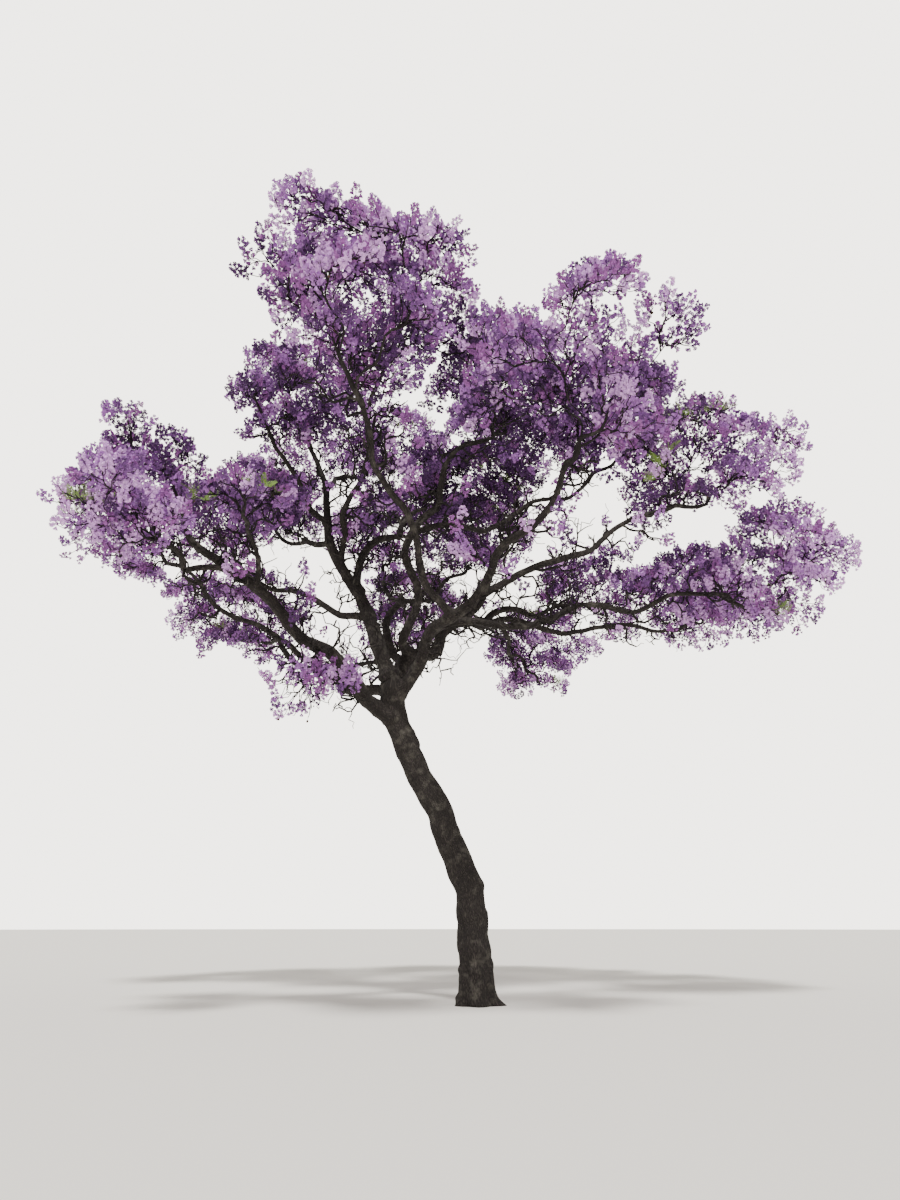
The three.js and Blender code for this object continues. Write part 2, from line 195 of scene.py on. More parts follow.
# Short twigs along the boughs: where they stand, and their way, length, girth and course
SIDE_SEED = 17
SIDE_SPACING = 0.32
SIDE_FROM = 0.12
SIDE_PLACES = (0.2, 0.8)
SIDE_STEP = 0.02
SIDE_UP = 0.2
SIDE_AHEAD = 0.45
SIDE_LIFT = 0.12
SIDE_RISE = 0.1
SIDE_LENGTHS = (0.25, 1.1)
SIDE_GIRTH = 0.022
SIDE_STOUT = 0.6
SIDE_SWAY = 0.12
SIDE_POINTS = 10
SIDE_SIDES = 4
SIDE_TAPER = 0.52

# Which short twigs have blossom: from where on along the bough, of what length, and what share of those
SIDE_BLOSSOM_FROM = 0.5
SIDE_BLOSSOM_LONG = 0.5
SIDE_BLOSSOM = 0.5

# The forks of a short twig
SIDE_FORKS = (0.4, 0.6, 0.8)
FORK_OUT = 0.9
FORK_LENGTHS = (0.35, 0.8)
FORK_POINTS = 7
FORK_SIDES = 3
FORK_SHARE = 0.8

# The worn stubs of shed twigs: their spacing and size, and the parts and radii of one from foot to end
STUB_SPACING = 1.3
STUB_LENGTHS = (0.07, 0.24)
STUB_GIRTHS = (0.2, 0.36)
STUB_LEAST = 0.012
STUB_SIDES = 7
STUB_LOOSE = 0.25
STUB_LOW = 0.4
STUB_MIDDLE = 0.7
STUB_END = 0.3
STUB_TAPER = (1.3, 1.1, 0.85, 0.6)

# What tips carry: the sprays and tips that have leaves, the bare tips, and the masses with more of these
TIP_SEED = 23
LEAFY_SPRAYS = 0.07
LEAFY_TIPS = 0.28
LEAFY_RING = 0.8
BARE_TIPS = 0.05
OPEN_MASSES = ("long_drop",)
OPEN_BARE = 0.62

# Panicles: their way and length, and how far the stalk of a full one and of a bare one reaches
PANICLE_UP = 0.8
PANICLE_OUT = 0.75
PANICLE_LOOSE = 0.16
PANICLE_LENGTHS = (0.2, 0.34)
RACHIS_FULL = 0.9
RACHIS_BARE = 0.2
RACHIS_SHARE = 0.5

# Tones of blossom from the inside of the crown to its outside, and how loosely they are dealt out: deep
# inside is painted shade, pale outside is painted light, and the loose part is the blossom's own tone at
# random
BLOSSOM_NAMES = ("deep", "violet", "rosy", "bright", "pale")
TONE_SEED = 29
SPRAY_LOOSE = 0.5
TIP_LOOSE = 0.9

# Flowers: how many a panicle has, how they stand round it, and the shape of one at length one
FLOWER_SEED = 31
FLOWERS = 16
FLOWER_STALKS = (0.055, 0.01)
STALK_LOOSE = (0.4, 1.6)
STALK_SHOWN = 0.022
STALK_WIDE = 0.007
FLOWER_OUT = 0.9
FLOWER_UP = 0.8
FLOWER_DROOP = 0.12
FLOWER_LOOSE = 0.42
FLOWER_LESSEN = 0.25
FLOWER_SIZES = (0.85, 1.15)
LOBES = 5
LOBE_WIDE = 0.55
LOBE_AT = 0.82
LOBE_HALF_ANGLE = math.radians(32)

# Leaves: the fronds of one tuft, and the shape of one at length one
LEAF_SEED = 37
FRONDS = 5
FROND_LENGTHS = (0.2, 0.34)
FROND_OUT = 0.9
FROND_OUTS = (0.5, 1.4)
FROND_LOOSE = 0.3
FROND_DROOP = 0.3
FROND_STALK = 0.12
RIB_PARTS = 4
RIB_WIDE = 0.018

# The leaflets of a frond: how long one is by its place, and how it points
LEAFLET_PAIRS = 9
LEAFLET_LONG = 0.17
LEAFLET_LEAST = 0.35
LEAFLET_FROM = 0.15
LEAFLET_SPAN = 0.8
LEAFLET_WIDE = 0.06
LEAFLET_DROP = 0.25
LEAFLET_AHEAD = 0.4
LEAFLET_SLANT = 0.35

# Seed pods: how many tips have one, the shape of one at length one, and its stalk
POD_SEED = 41
POD_SHARE = 0.05
POD_SIDES = 9
POD_THICK = 0.13
POD_WAVE = 0.03
POD_WAVES = 3
POD_LENGTHS = (0.045, 0.062)
POD_LOOSE = 0.2
POD_STALK = 0.05
POD_STALK_GIRTH = 0.003
POD_STALK_SIDES = 3
POD_SINK = 0.01

# The bark's marks a metre: plates, fine scales, streaks, patches, and the wobble that bends the plates
BARK_COARSE = 30
BARK_FINE = 75
BARK_STREAKS = 9
BARK_PATCHES = 4.2
BARK_WOBBLE = 14
BARK_PUSH = 0.045
BARK_EDGE = 0.3

# The detail of the bark's noises, their common roughness, and what their values are turned into
FINE_DETAIL = 6.0
STREAK_DETAIL = 3.0
PATCH_DETAIL = 4.0
WOBBLE_DETAIL = 2.0
BARK_ROUGH = 0.62
BARK_HEIGHT = 1.7
BARK_DULL = (0.78, 0.98)
STREAK_SPAN = (0.3, 0.7)
STREAK_SHADE = (0.45, 1.1)
PATCH_SPAN = (0.52, 0.72)

# Bark on limbs and on twigs: the scale of its marks and the depth of its relief in metres
LIMB_BARK = (1.0, 0.02)
TWIG_BARK = (1.4, 0.006)
BARK_BUMP = 0.9
BARK_SHINE = 0.3

# Living tones: the noise, and the spans that turn lighter, deeper and duller
TONE_DETAIL = 3.0
TONE_ROUGH = 0.7
TONE_LIGHT = (0.5, 0.72)
TONE_DEEP = (0.5, 0.3)
TONE_DULL = (0.5, 0.72)
LIVING_SHINE = 0.25

# Petals, leaves and pods: how far the tone drifts, its marks a metre, and the sheen
BLOSSOM_LOOK = (0.42, 16.0, 0.08)
LEAF_LOOK = (0.3, 9.0, 0.1)
POD_LOOK = (0.35, 30.0, 0.0)

# The stage: the floor and its finish
FLOOR_RADIUS = 400
FLOOR_SIDES = 96
FLOOR_DROP = 0.002
FLOOR_DULL = 0.9
FLOOR_SHINE = 0.1

# The stage: the lamp, and the camera's sensor, picture and farthest sight
LAMP_PLACE = (0, 0, 30)
LAMP_WAY = (0.45, 0.6, -1.0)
LAMP_SOFTNESS = math.radians(7)
LAMP_COLOUR = (1.0, 0.97, 0.92)
SENSOR = 36
IMAGE_SIZE = (900, 1200)
FARTHEST = 1000

Limb = namedtuple("Limb", "name carrier at tip girths bends")
Bends = namedtuple("Bends", "turn lift sway phase waves")
Shape = namedtuple("Shape", "name carrier at girths points marks mark_girths")
Space = namedtuple("Space", "name reach onward middle outward walls marks mark_girths")
Spray = namedtuple("Spray", "middle ways halves")

# Limbs. A bend tells the degrees turned and lifted from foot to tip, and the sway, phase and number of waves.
LIMBS = (
    Limb("trunk", None, 0, (-2.4, 0, 7), (0.36, 0.27), Bends(5, 35, 22, 0.15, 0.7)),
    Limb("long_bough", "trunk", 0.87, (-7.7, -0.7, 9), (0.2, 0.075), Bends(-6, -3, 12, 0.52, 2.7)),
    Limb("long_lower", "long_bough", 0.79, (-8.5, -1.8, 8.2), (0.075, 0.042), Bends(60, 26, 20, 0.94, 1.8)),
    Limb("long_riser", "long_bough", 0.74, (-6.9, -1.7, 9), (0.06, 0.038), Bends(0, 30, 16, 0, 0.7)),
    Limb("long_drop", "long_bough", 0.38, (-4.8, -1.3, 6.6), (0.065, 0.034), Bends(0, -10, 30, 0.5, 0.7)),
    Limb("left_leader", "trunk", 1, (-4.4, 1.7, 14), (0.2, 0.055), Bends(6, 20, 12, 0.94, 2)),
    Limb("leader_side", "left_leader", 0.62, (-6, 0.2, 12.7), (0.08, 0.045), Bends(3, 23, 13, 0.53, 1.3)),
    Limb("leader_crown", "left_leader", 0.79, (-1.7, 3.2, 14.8), (0.075, 0.048), Bends(1, -5, 4, 0.96, 1.4)),
    Limb("leader_near", "left_leader", 0.48, (-4.4, -2.4, 13.4), (0.08, 0.045), Bends(0, 20, 16, 0.2, 1.7)),
    Limb("leader_far", "left_leader", 0.55, (-3.9, 5, 13), (0.08, 0.045), Bends(0, 20, 16, 0.9, 1.6)),
    Limb("leader_back", "left_leader", 0.25, (-5.6, 3.6, 10.8), (0.09, 0.045), Bends(0, 20, 16, 0.7, 1.8)),
    Limb(
        "middle_bough", "left_leader", 0.34, (-0.8, 0.5, 12.5), (0.12, 0.048), Bends(-5, -46, 26, 0.95, 1.8)
    ),
    Limb("right_bough", "trunk", 0.97, (4.6, 1.1, 10.9), (0.2, 0.05), Bends(-21, -40, 23, 0.14, 3.5)),
    Limb("right_top", "right_bough", 0.4, (1.9, 0.2, 13.8), (0.09, 0.045), Bends(0, 30, 16, 0.6, 1.8)),
    Limb("right_low", "right_bough", 0.5, (5.4, -2.4, 9.2), (0.09, 0.045), Bends(0, 10, 16, 0.2, 2)),
    Limb("right_far", "right_bough", 0.6, (5, 3.8, 9.9), (0.08, 0.045), Bends(0, 10, 16, 0.1, 1.6)),
    Limb("inner_bough", "right_bough", 0.08, (-0.5, 4.2, 12.2), (0.13, 0.048), Bends(11, -4, 23, 0.73, 1.6)),
    Limb("inner_far", "inner_bough", 0.5, (2.4, 3.5, 12.7), (0.075, 0.045), Bends(0, 20, 16, 0.4, 1.7)),
    Limb("near_riser", "right_bough", 0.13, (-1.2, -2.7, 13), (0.12, 0.048), Bends(90, 9, 30, 0.42, 2.9)),
    Limb("near_top", "near_riser", 0.45, (1.9, -2.9, 12.7), (0.07, 0.045), Bends(0, 20, 16, 0.3, 2.1)),
    Limb("far_bough", "trunk", 0.93, (-3.4, 6.6, 9.8), (0.16, 0.05), Bends(0, 5, 18, 0.3, 2.6)),
    Limb("far_left", "far_bough", 0.42, (-6.8, 5, 10.9), (0.09, 0.045), Bends(0, 15, 16, 0.8, 1.9)),
    Limb("far_right", "far_bough", 0.5, (1.3, 6.4, 10.3), (0.09, 0.045), Bends(0, 15, 16, 0.5, 1.9)),
    Limb("near_bough", "trunk", 0.95, (-2.4, -6.4, 9.7), (0.16, 0.05), Bends(0, 0, 18, 0.9, 2.6)),
    Limb("near_left", "near_bough", 0.4, (-6.2, -5.2, 10.2), (0.09, 0.045), Bends(0, 15, 16, 0.4, 1.9)),
    Limb("near_right", "near_bough", 0.5, (1.6, -5.6, 10.4), (0.09, 0.045), Bends(0, 15, 16, 0.1, 1.8)),
    Limb("near_out", "near_bough", 0.3, (4.2, -5, 9), (0.09, 0.045), Bends(0, 0, 16, 0.3, 2.7)),
)
MAIN_BOUGHS = ("long_bough", "left_leader", "right_bough", "far_bough", "near_bough", "inner_bough")

# Masses that are smaller than the rest, or whose middle lies otherwise than straight past the bough's tip
MASS_REACH = {
    "long_bough": 1.5,
    "long_lower": 1.25,
    "long_riser": 1.2,
    "long_drop": 1.15,
    "left_leader": 2.1,
    "leader_side": 1.7,
    "leader_back": 1.9,
    "near_left": 2.2,
    "leader_far": 2.1,
}
MASS_MIDDLE = {
    "long_bough": (-8.86, -0.7, 10.1),
    "long_lower": (-9.3, -1.9, 8.4),
    "long_riser": (-7, -1.9, 9.4),
    "long_drop": (-5, -1.3, 5.9),
    "leader_side": (-5.9, 0.1, 13.3),
}


def seeded(seed):
    """Numbers from 0 to 1, the same at every run and the same as the solids'."""
    state = seed
    first, second, last = DRAW_SHIFTS

    def times(one, other):
        return (one * other) & WORD

    def draw():
        nonlocal state
        state = (state + DRAW_STEP) & WORD
        mixed = times(state ^ (state >> first), state | 1)
        mixed ^= (mixed + times(mixed ^ (mixed >> second), mixed | DRAW_ODD)) & WORD
        return (mixed ^ (mixed >> last)) / (WORD + 1)

    return draw


def between(pair, share):
    """The value at a share of the way from one value to another."""
    return pair[0] + (pair[1] - pair[0]) * share


def unit(vectors):
    """Each vector at length one."""
    lengths = np.linalg.norm(vectors, axis=-1, keepdims=True)
    return vectors / np.maximum(lengths, TINY)


def course_of(foot, tip, bends):
    """The centre line of a limb: it wanders by its bends, turned and sized to run from foot to tip."""
    along = (np.arange(COURSE_STEPS) + 0.5) / COURSE_STEPS
    wave = 2 * math.pi * (along * bends.waves + bends.phase)
    heading = np.radians(bends.turn * (along - 0.5) + bends.sway * np.cos(wave))
    rise = np.radians(bends.lift * (along - 0.5) + bends.sway * np.sin(wave))
    steps = np.stack((np.cos(rise) * np.cos(heading), np.cos(rise) * np.sin(heading), np.sin(rise)), axis=1)
    points = np.vstack((np.zeros(3), np.cumsum(steps, axis=0)))
    end = points[-1]
    span = tip - foot
    end_rise = math.atan2(end[2], math.hypot(end[0], end[1]))
    span_rise = math.atan2(span[2], math.hypot(span[0], span[1]))
    turned = Matrix.Rotation(math.atan2(span[1], span[0]), 3, "Z")
    turned @= Matrix.Rotation(end_rise - span_rise, 3, "Y")
    turned @= Matrix.Rotation(-math.atan2(end[1], end[0]), 3, "Z")
    size = np.linalg.norm(span) / np.linalg.norm(end)
    return points @ np.array(turned).T * size + foot


def noise_at(places, scale):
    """Smooth noise from -1 to 1 at each place."""
    return np.array([noise.noise(place) for place in (places * scale).tolist()])


def strayed(places):
    """Places moved a little off their true course, all by one field, so that what meets still meets."""
    flat = places.reshape(-1, 3)
    moved = np.zeros_like(flat)
    for far, waves in STRAY:
        moved += far * np.stack([noise_at(flat + shift, waves) for shift in STRAY_SHIFTS], axis=1)
    moved *= np.clip(flat[:, 2:] / STRAY_FROM, 0, 1)
    return (flat + moved).reshape(places.shape)


def place_on(points, share):
    """The place at a share of the way along a centre line."""
    at = share * (len(points) - 1)
    step = min(int(at), len(points) - 2)
    return points[step] + (points[step + 1] - points[step]) * (at - step)


@functools.lru_cache
def grow_limbs():
    """Each limb's centre line, with the places along it that show what would touch it."""
    grown = {}
    for row in LIMBS:
        foot = place_on(grown[row.carrier].points, row.at) if row.carrier else np.zeros(3)
        points = course_of(foot, np.array(row.tip, float), row.bends)
        shares = np.arange(LIMB_MARKS + 1) / LIMB_MARKS
        marks = np.array([place_on(points, share) for share in shares])
        mark_girths = between(row.girths, shares) + LIMB_MARGIN
        grown[row.name] = Shape(row.name, row.carrier, row.at, row.girths, points, marks, mark_girths)
    return grown


def mass_spaces():
    """The space of each bough's mass: a flattened ball past its tip, less what is nearer to another mass."""
    shapes = list(grow_limbs().values())
    boughs = [shape for shape in shapes if shape.carrier]
    middles = []
    for bough in boughs:
        reach = MASS_REACH.get(bough.name, REACH)
        onward = unit(bough.points[-1] - bough.points[-2])
        past = bough.points[-1] + AHEAD * reach * onward + ABOVE * reach * UP
        middles.append(np.array(MASS_MIDDLE.get(bough.name, past)))
    middles = np.array(middles)
    marks = np.vstack([shape.marks for shape in shapes])
    girths = np.concatenate([shape.mark_girths for shape in shapes])
    spaces = []
    for i, bough in enumerate(boughs):
        reach = MASS_REACH.get(bough.name, REACH)
        onward = unit(bough.points[-1] - bough.points[-2])
        others = np.delete(middles, i, axis=0)
        near = np.linalg.norm(marks - middles[i], axis=1) < reach + SPRAY_HALVES[0]
        spaces.append(
            Space(
                bough.name,
                reach,
                onward,
                middles[i],
                unit(others - middles[i]),
                (others + middles[i]) / 2,
                marks[near],
                girths[near],
            )
        )
    return spaces


def keeps_inside(space, places, slack=0.0):
    """Which places lie in a mass's space, or within the given slack of it."""
    away = (places - space.middle) / (1, 1, FLATNESS)
    in_ball = np.linalg.norm(away, axis=-1) <= space.reach + slack
    past_wall = np.einsum("...wk,wk->...w", places[..., None, :] - space.walls, space.outward)
    return in_ball & np.all(past_wall < slack - CELL_MARGIN, axis=-1)


def is_within(spray, places, room=0.0):
    """Which places lie in a spray, or in one whose half sizes are larger by the given room."""
    away = np.abs((places - spray.middle) @ spray.ways.T)
    return np.sum(away / (spray.halves + np.expand_dims(room, -1)), axis=-1) < 1


def try_spray(space, draw):
    """A spray at a random place of the space, or nothing where it leaves the space or touches a limb."""
    around = 2 * math.pi * draw()
    level = 2 * draw() - 1
    across = math.sqrt(1 - level * level)
    outward = np.array((across * math.cos(around), across * math.sin(around), level))
    size = between(SPRAY_SIZES, draw()) * (space.reach / REACH + 1) / 2
    away = between(SHELL, draw() ** SHELL_POWER) * space.reach
    middle = outward * (away, away, away * FLATNESS) + space.middle
    loose = np.array((draw() - 0.5, draw() - 0.5, draw() - 0.5)) * FACE_LOOSE
    facing = unit(loose + outward * FACE_OUT + UP * FACE_UP)
    spin = 2 * math.pi * draw()
    flat = np.array((math.cos(spin), math.sin(spin), 0))
    long = unit(flat - facing * (flat @ facing))
    ways = np.array((long, np.cross(facing, long), facing))
    halves = np.array(SPRAY_HALVES) * size
    spray = Spray(middle, ways, halves)
    ends = np.vstack((middle + ways * halves[:, None], middle - ways * halves[:, None]))
    if not np.all(keeps_inside(space, ends)):
        return None
    return None if np.any(is_within(spray, space.marks, FACE_ROOM * space.mark_girths)) else spray


def scatter_sprays(space, draw):
    """Sprays spread over the space: each is the one farthest from the others among a few choices."""
    wanted = math.floor(SPRAYS * (space.reach / REACH) ** SPRAY_POWER + 0.5)
    sprays = []
    tries = 0
    while len(sprays) < wanted and tries < TRIES:
        best, best_gap = None, -1.0
        for _ in range(CHOICES):
            tries += 1
            spray = try_spray(space, draw)
            if spray is None:
                continue
            gaps = [np.linalg.norm((spray.middle - other.middle) / (1, 1, FLATNESS)) for other in sprays]
            gap = min(gaps, default=math.inf)
            if gap > best_gap:
                best, best_gap = spray, gap
        if best:
            sprays.append(best)
    return sprays


def seat_on(spray, start):
    """Where a twig ends in a spray: inside it, off its middle on the side that the twig comes from."""
    side = np.sign(spray.ways[:2] @ (start - spray.middle))
    return spray.middle + (SEAT_SHARE * spray.halves[:2] * side) @ spray.ways[:2]


class Twig:
    """One twig of a mass: its course in the solids, what carries it, and what it carries."""

    def __init__(self, points, spray, carrier, at):
        self.points = points
        self.spray = spray
        self.carrier = carrier
        self.at = at
        self.load = 1
        self.leaving = list(LEAVING)

    def way_at(self, share):
        step = min(int(share * (len(self.points) - 1)), len(self.points) - 2)
        return unit(self.points[step + 1] - self.points[step])

    def set_girths(self):
        """A twig thickens with what it carries, and its foot stays inside the twig that it leaves."""
        full = TWIG_GIRTH * self.load**TWIG_THICKENING
        if not self.carrier:
            self.girths = (full, TWIG_GIRTH)
            return
        most = max(THINNEST, FOOT_SHARE * between(self.carrier.girths, self.at))
        self.girths = (min(full, most), min(TWIG_GIRTH, most))


def touches_limb(space, start, end):
    """Whether a straight twig comes too near a limb."""
    places = start + np.linspace(0, 1, TWIG_MARKS + 1)[:, None] * (end - start)
    gaps = np.linalg.norm(places[:, None] - space.marks, axis=2)
    return bool(np.any(gaps < space.mark_girths + TWIG_ROOM))


def offers_from(carrier, spray, sprays):
    """The twigs that could run from the free places along a carrier to a spray, and what each would cost."""
    for at in carrier.leaving:
        start = place_on(carrier.points, at)
        end = seat_on(spray, start)
        marks = start + np.linspace(0, 1, CROSSING_MARKS + 1)[:, None] * (end - start)
        crossed = sum(bool(np.any(is_within(other, marks))) for other in sprays if other is not spray)
        straight = unit(end - start) @ carrier.way_at(at)
        cost = np.linalg.norm(end - start) * (TURN_COST - straight) * (1 + CROSSING_COST * crossed)
        yield cost, carrier, at, start, end


def grow_twigs(space, sprays):
    """The twigs of a mass: the stem goes on from the bough, and every further spray, nearest first, hangs on
    the place along the twigs already grown that takes the shortest, straightest and clearest new twig."""
    tip = grow_limbs()[space.name].points[-1]
    foot = tip + space.onward * SEAT_GAP
    queue = sorted(sprays, key=lambda spray: np.linalg.norm(spray.middle - foot))
    ahead = foot + AHEAD * space.reach * space.onward
    first = min(queue, key=lambda spray: np.linalg.norm(spray.middle - ahead))
    bend_at = foot + space.onward * STEM_BEND * np.linalg.norm(first.middle - foot)
    end = seat_on(first, foot)
    shares = np.linspace(0, 1, STEM_STEPS + 1)[:, None]
    stem = (1 - shares) ** 2 * foot + 2 * shares * (1 - shares) * bend_at + shares**2 * end
    twigs = [Twig(stem, first, None, 0)]
    for spray in queue:
        if spray is first:
            continue
        offers = sorted(
            (offer for carrier in twigs for offer in offers_from(carrier, spray, sprays)),
            key=lambda offer: offer[0],
        )
        for _, carrier, at, start, end in offers:
            if touches_limb(space, start, end):
                continue
            carrier.leaving.remove(at)
            twigs.append(Twig(np.array((start, end)), spray, carrier, at))
            while carrier:
                carrier.load += 1
                carrier = carrier.carrier
            break
    for twig in twigs:
        twig.set_girths()
    return twigs


def smooth_line(points, parts):
    """A smooth cubic line through the points, with the given number of parts between each two."""
    before = np.vstack((2 * points[0] - points[1], points[:-2], points[-2:-1]))[: len(points) - 1]
    after = np.vstack((points[2:], 2 * points[-1] - points[-2]))
    start, end = points[:-1], points[1:]
    lines = []
    for part in range(parts):
        t = part / parts
        square = (2 * before - 5 * start + 4 * end - after) * t**2
        cube = (3 * start - before - 3 * end + after) * t**3
        lines.append((2 * start + (end - before) * t + square + cube) / 2)
    return np.vstack((np.stack(lines, axis=1).reshape(-1, 3), points[-1]))


def ways_along(line):
    """The direction of a line at each of its points."""
    steps = unit(np.diff(line, axis=0))
    return unit(np.vstack((steps[:1], steps[:-1] + steps[1:], steps[-1:])))


def sides_along(line):
    """Two directions square to a line at each of its points, carried along it without a twist."""
    ways = ways_along(line)
    least = np.eye(3)[np.argmin(np.abs(ways[0]))]
    first = np.cross(ways[0], unit(np.cross(ways[0], least)))
    sides = [first]
    for way in ways[1:]:
        sides.append(unit(sides[-1] - way * (sides[-1] @ way)))
    sides = np.array(sides)
    return sides, np.cross(ways, sides)


def nearest_on(line, places, chunk=6000):
    """For each place, its share of the way along a line and the nearest point there."""
    starts, steps = line[:-1], np.diff(line, axis=0)
    lengths = np.sum(steps**2, axis=1)
    shares, points = [], []
    for i in range(0, len(places), chunk):
        away = places[i : i + chunk, None] - starts
        part = np.clip(np.sum(away * steps, axis=2) / lengths, 0, 1)
        gaps = np.sum((away - part[..., None] * steps) ** 2, axis=2)
        best = np.argmin(gaps, axis=1)
        part = part[np.arange(len(best)), best]
        shares.append((best + part) / len(steps))
        points.append(starts[best] + part[:, None] * steps[best])
    return np.concatenate(shares), np.vstack(points)


def at_share(rows, shares):
    """Rows that are told at even steps along a line, between the steps."""
    at = np.clip(shares, 0, 1) * (len(rows) - 1)
    step = np.minimum(at.astype(int), len(rows) - 2)
    return rows[step] + (rows[step + 1] - rows[step]) * (at - step)[:, None]


def sweep_limb(name, line, girths, sides):
    """A closed limb: a circle at its foot, extruded, turned and sized ring by ring along its line."""
    ways = [Vector(way) for way in ways_along(line)]
    places = [Vector(place) for place in line]
    radii = [between(girths, i / (len(line) - 1)) for i in range(len(line))]
    bpy.ops.object.select_all(action="DESELECT")
    bpy.ops.mesh.primitive_circle_add(
        vertices=sides,
        radius=radii[0],
        fill_type="NGON",
        location=places[0],
        rotation=ways[0].to_track_quat("Z", "Y").to_euler(),
    )
    limb = bpy.context.object
    limb.name = name
    bpy.ops.object.mode_set(mode="EDIT")
    for i in range(1, len(places)):
        bpy.ops.mesh.extrude_region_move(TRANSFORM_OT_translate={"value": places[i] - places[i - 1]})
        turn = ways[i - 1].rotation_difference(ways[i]).to_euler("XYZ")
        for key, angle in zip("XYZ", turn):
            bpy.ops.transform.rotate(
                value=-angle, orient_axis=key, orient_type="GLOBAL", center_override=places[i]
            )
        size = radii[i] / radii[i - 1]
        bpy.ops.transform.resize(value=(size, size, size), center_override=places[i])
    bpy.ops.mesh.select_all(action="SELECT")
    bpy.ops.mesh.normals_make_consistent(inside=False)
    bpy.ops.object.mode_set(mode="OBJECT")
    bpy.ops.object.transform_apply(location=True, rotation=True, scale=True)
    return limb


def subdivide(limb, levels):
    """Smooths a swept limb, and applies it."""
    smooth = limb.modifiers.new("Smooth", "SUBSURF")
    smooth.levels = levels
    smooth.render_levels = levels
    bpy.ops.object.modifier_apply(modifier=smooth.name)


def places_of(piece):
    """The places of a piece's points."""
    places = np.empty(len(piece.data.vertices) * 3, np.float32)
    piece.data.vertices.foreach_get("co", places)
    return places.reshape(-1, 3).astype(float)


def line_of(shape):
    """A limb's smooth centre line, the trunk's with its start below ground."""
    points = shape.points
    if not shape.carrier:
        points = np.vstack((points[0] + unit(points[0] - points[1]) * BELOW_GROUND, points))
    return strayed(smooth_line(points, LINE_PARTS))


def nearness(line, girths, places, blend):
    """How near places are to the skin of a limb: 1 on it, down to 0 at the blend outside or inside it."""
    shares, nearest = nearest_on(line, places)
    gap = np.linalg.norm(places - nearest, axis=1) - between(girths, shares)
    return np.clip(1 - np.abs(gap) / blend, 0, 1)


def joints_on(shape, places):
    """How far a limb swells where it joins its carrier and where others leave it, and how near a joint is."""
    swell = np.zeros(len(places))
    near = np.zeros(len(places))
    for other in grow_limbs().values():
        if other.name != shape.carrier and other.carrier != shape.name:
            continue
        line = line_of(other)
        branch = shape
        if other.carrier == shape.name:
            branch = other
            away = np.linalg.norm(line - line[0], axis=1)
            line = line[away > between(shape.girths, other.at)]
        blend = COLLAR_SHARE * branch.girths[0] + COLLAR_LEAST
        nigh = nearness(line, other.girths, places, blend)
        swell = np.maximum(swell, COLLAR_SWELL * blend * nigh**2)
        near = np.maximum(near, nigh)
    return swell, near


def carve_limb(limb, shape, grain_shift):
    """Gives a limb its true girth, its foot or collar and its bark's relief, and keeps the bark's grain."""
    line = line_of(shape)
    places = places_of(limb)
    shares, nearest = nearest_on(line, places)
    depth = np.linalg.norm(places - nearest, axis=1)
    outward = unit(places - nearest)
    sides, others = sides_along(line)
    rise, run = (np.sum(outward * at_share(rows, shares), axis=1) for rows in (others, sides))
    angle = np.arctan2(rise, run)
    girth = between(shape.girths, shares)
    swell, near = joints_on(shape, places)
    reach = girth + swell
    if not shape.carrier:
        height = np.maximum(0, nearest[:, 2])
        ridges = np.cos(RIDGES * angle + RIDGE_TURN)
        reach *= 1 + FLARE_SPREAD * np.exp(-height / FLARE_HEIGHT)
        reach += girth * RIDGE_RELIEF * np.exp(-height / RIDGE_FADE) * ridges
        reach += girth * TOE_SPREAD * np.exp(-height / TOE_HEIGHT) * (1 + ridges)
    along = shares * np.sum(np.linalg.norm(np.diff(line, axis=0), axis=1))
    grain = np.stack((np.cos(angle) * girth, np.sin(angle) * girth, along / GRAIN_STRETCH), axis=1)
    grain += grain_shift
    relief = LUMP_SHARE * girth * noise_at(places, LUMP_SCALE)
    relief += KNOT_SHARE * girth * np.maximum(0, noise_at(places, KNOT_SCALE) - KNOT_LEAST)
    furrows = np.abs(noise_at(grain, FURROW_SCALE)) - FURROW_MIDDLE
    plates = noise_at(grain, PLATE_SCALE)
    relief += (BARK_DEPTH * girth + BARK_LEAST) * (furrows + PLATE_SHARE * plates)
    reach += relief * (1 - JOINT_CALM * near)
    wall = depth > WALL_SHARE * girth
    tip = ~wall & (shares > DOME_FROM)
    dome = DOME_SHARE * np.sqrt(np.maximum(0, girth**2 - depth**2))
    places[wall] = (nearest + outward * reach[:, None])[wall]
    places[tip] += dome[tip, None] * unit(line[-1] - line[-2])
    limb.data.vertices.foreach_set("co", places.astype(np.float32).ravel())
    held = limb.data.attributes.new("grain", "FLOAT_VECTOR", "POINT")
    held.data.foreach_set("vector", grain.astype(np.float32).ravel())
    limb.data.update()


def make_limb(shape, index):
    """One limb, swept along its line and carved."""
    if not shape.carrier:
        sides, levels = TRUNK_FORM
    elif shape.name in MAIN_BOUGHS:
        sides, levels = BOUGH_FORM
    else:
        sides, levels = SLIM_FORM
    limb = sweep_limb(shape.name + "_bark", line_of(shape)[::LINE_PARTS], shape.girths, sides)
    subdivide(limb, levels)
    carve_limb(limb, shape, index * GRAIN_SHIFT)
    return limb


def finish_piece(piece, name, material, nodes):
    """Names a piece, gives it its finish, rides it on the tree, and hides the frame's nodes that it stands
    for.
    """
    piece.name = name
    piece.data.name = name
    piece.data.materials.clear()
    piece.data.materials.append(material)
    piece.data.shade_smooth()
    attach(piece, "root")
    if nodes:
        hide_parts(*nodes)


def join_limbs(limbs):
    """Joins limbs into one piece, each still a closed shell."""
    bpy.ops.object.select_all(action="DESELECT")
    for limb in limbs:
        limb.select_set(True)
    bpy.context.view_layer.objects.active = limbs[0]
    bpy.ops.object.join()
    return bpy.context.object


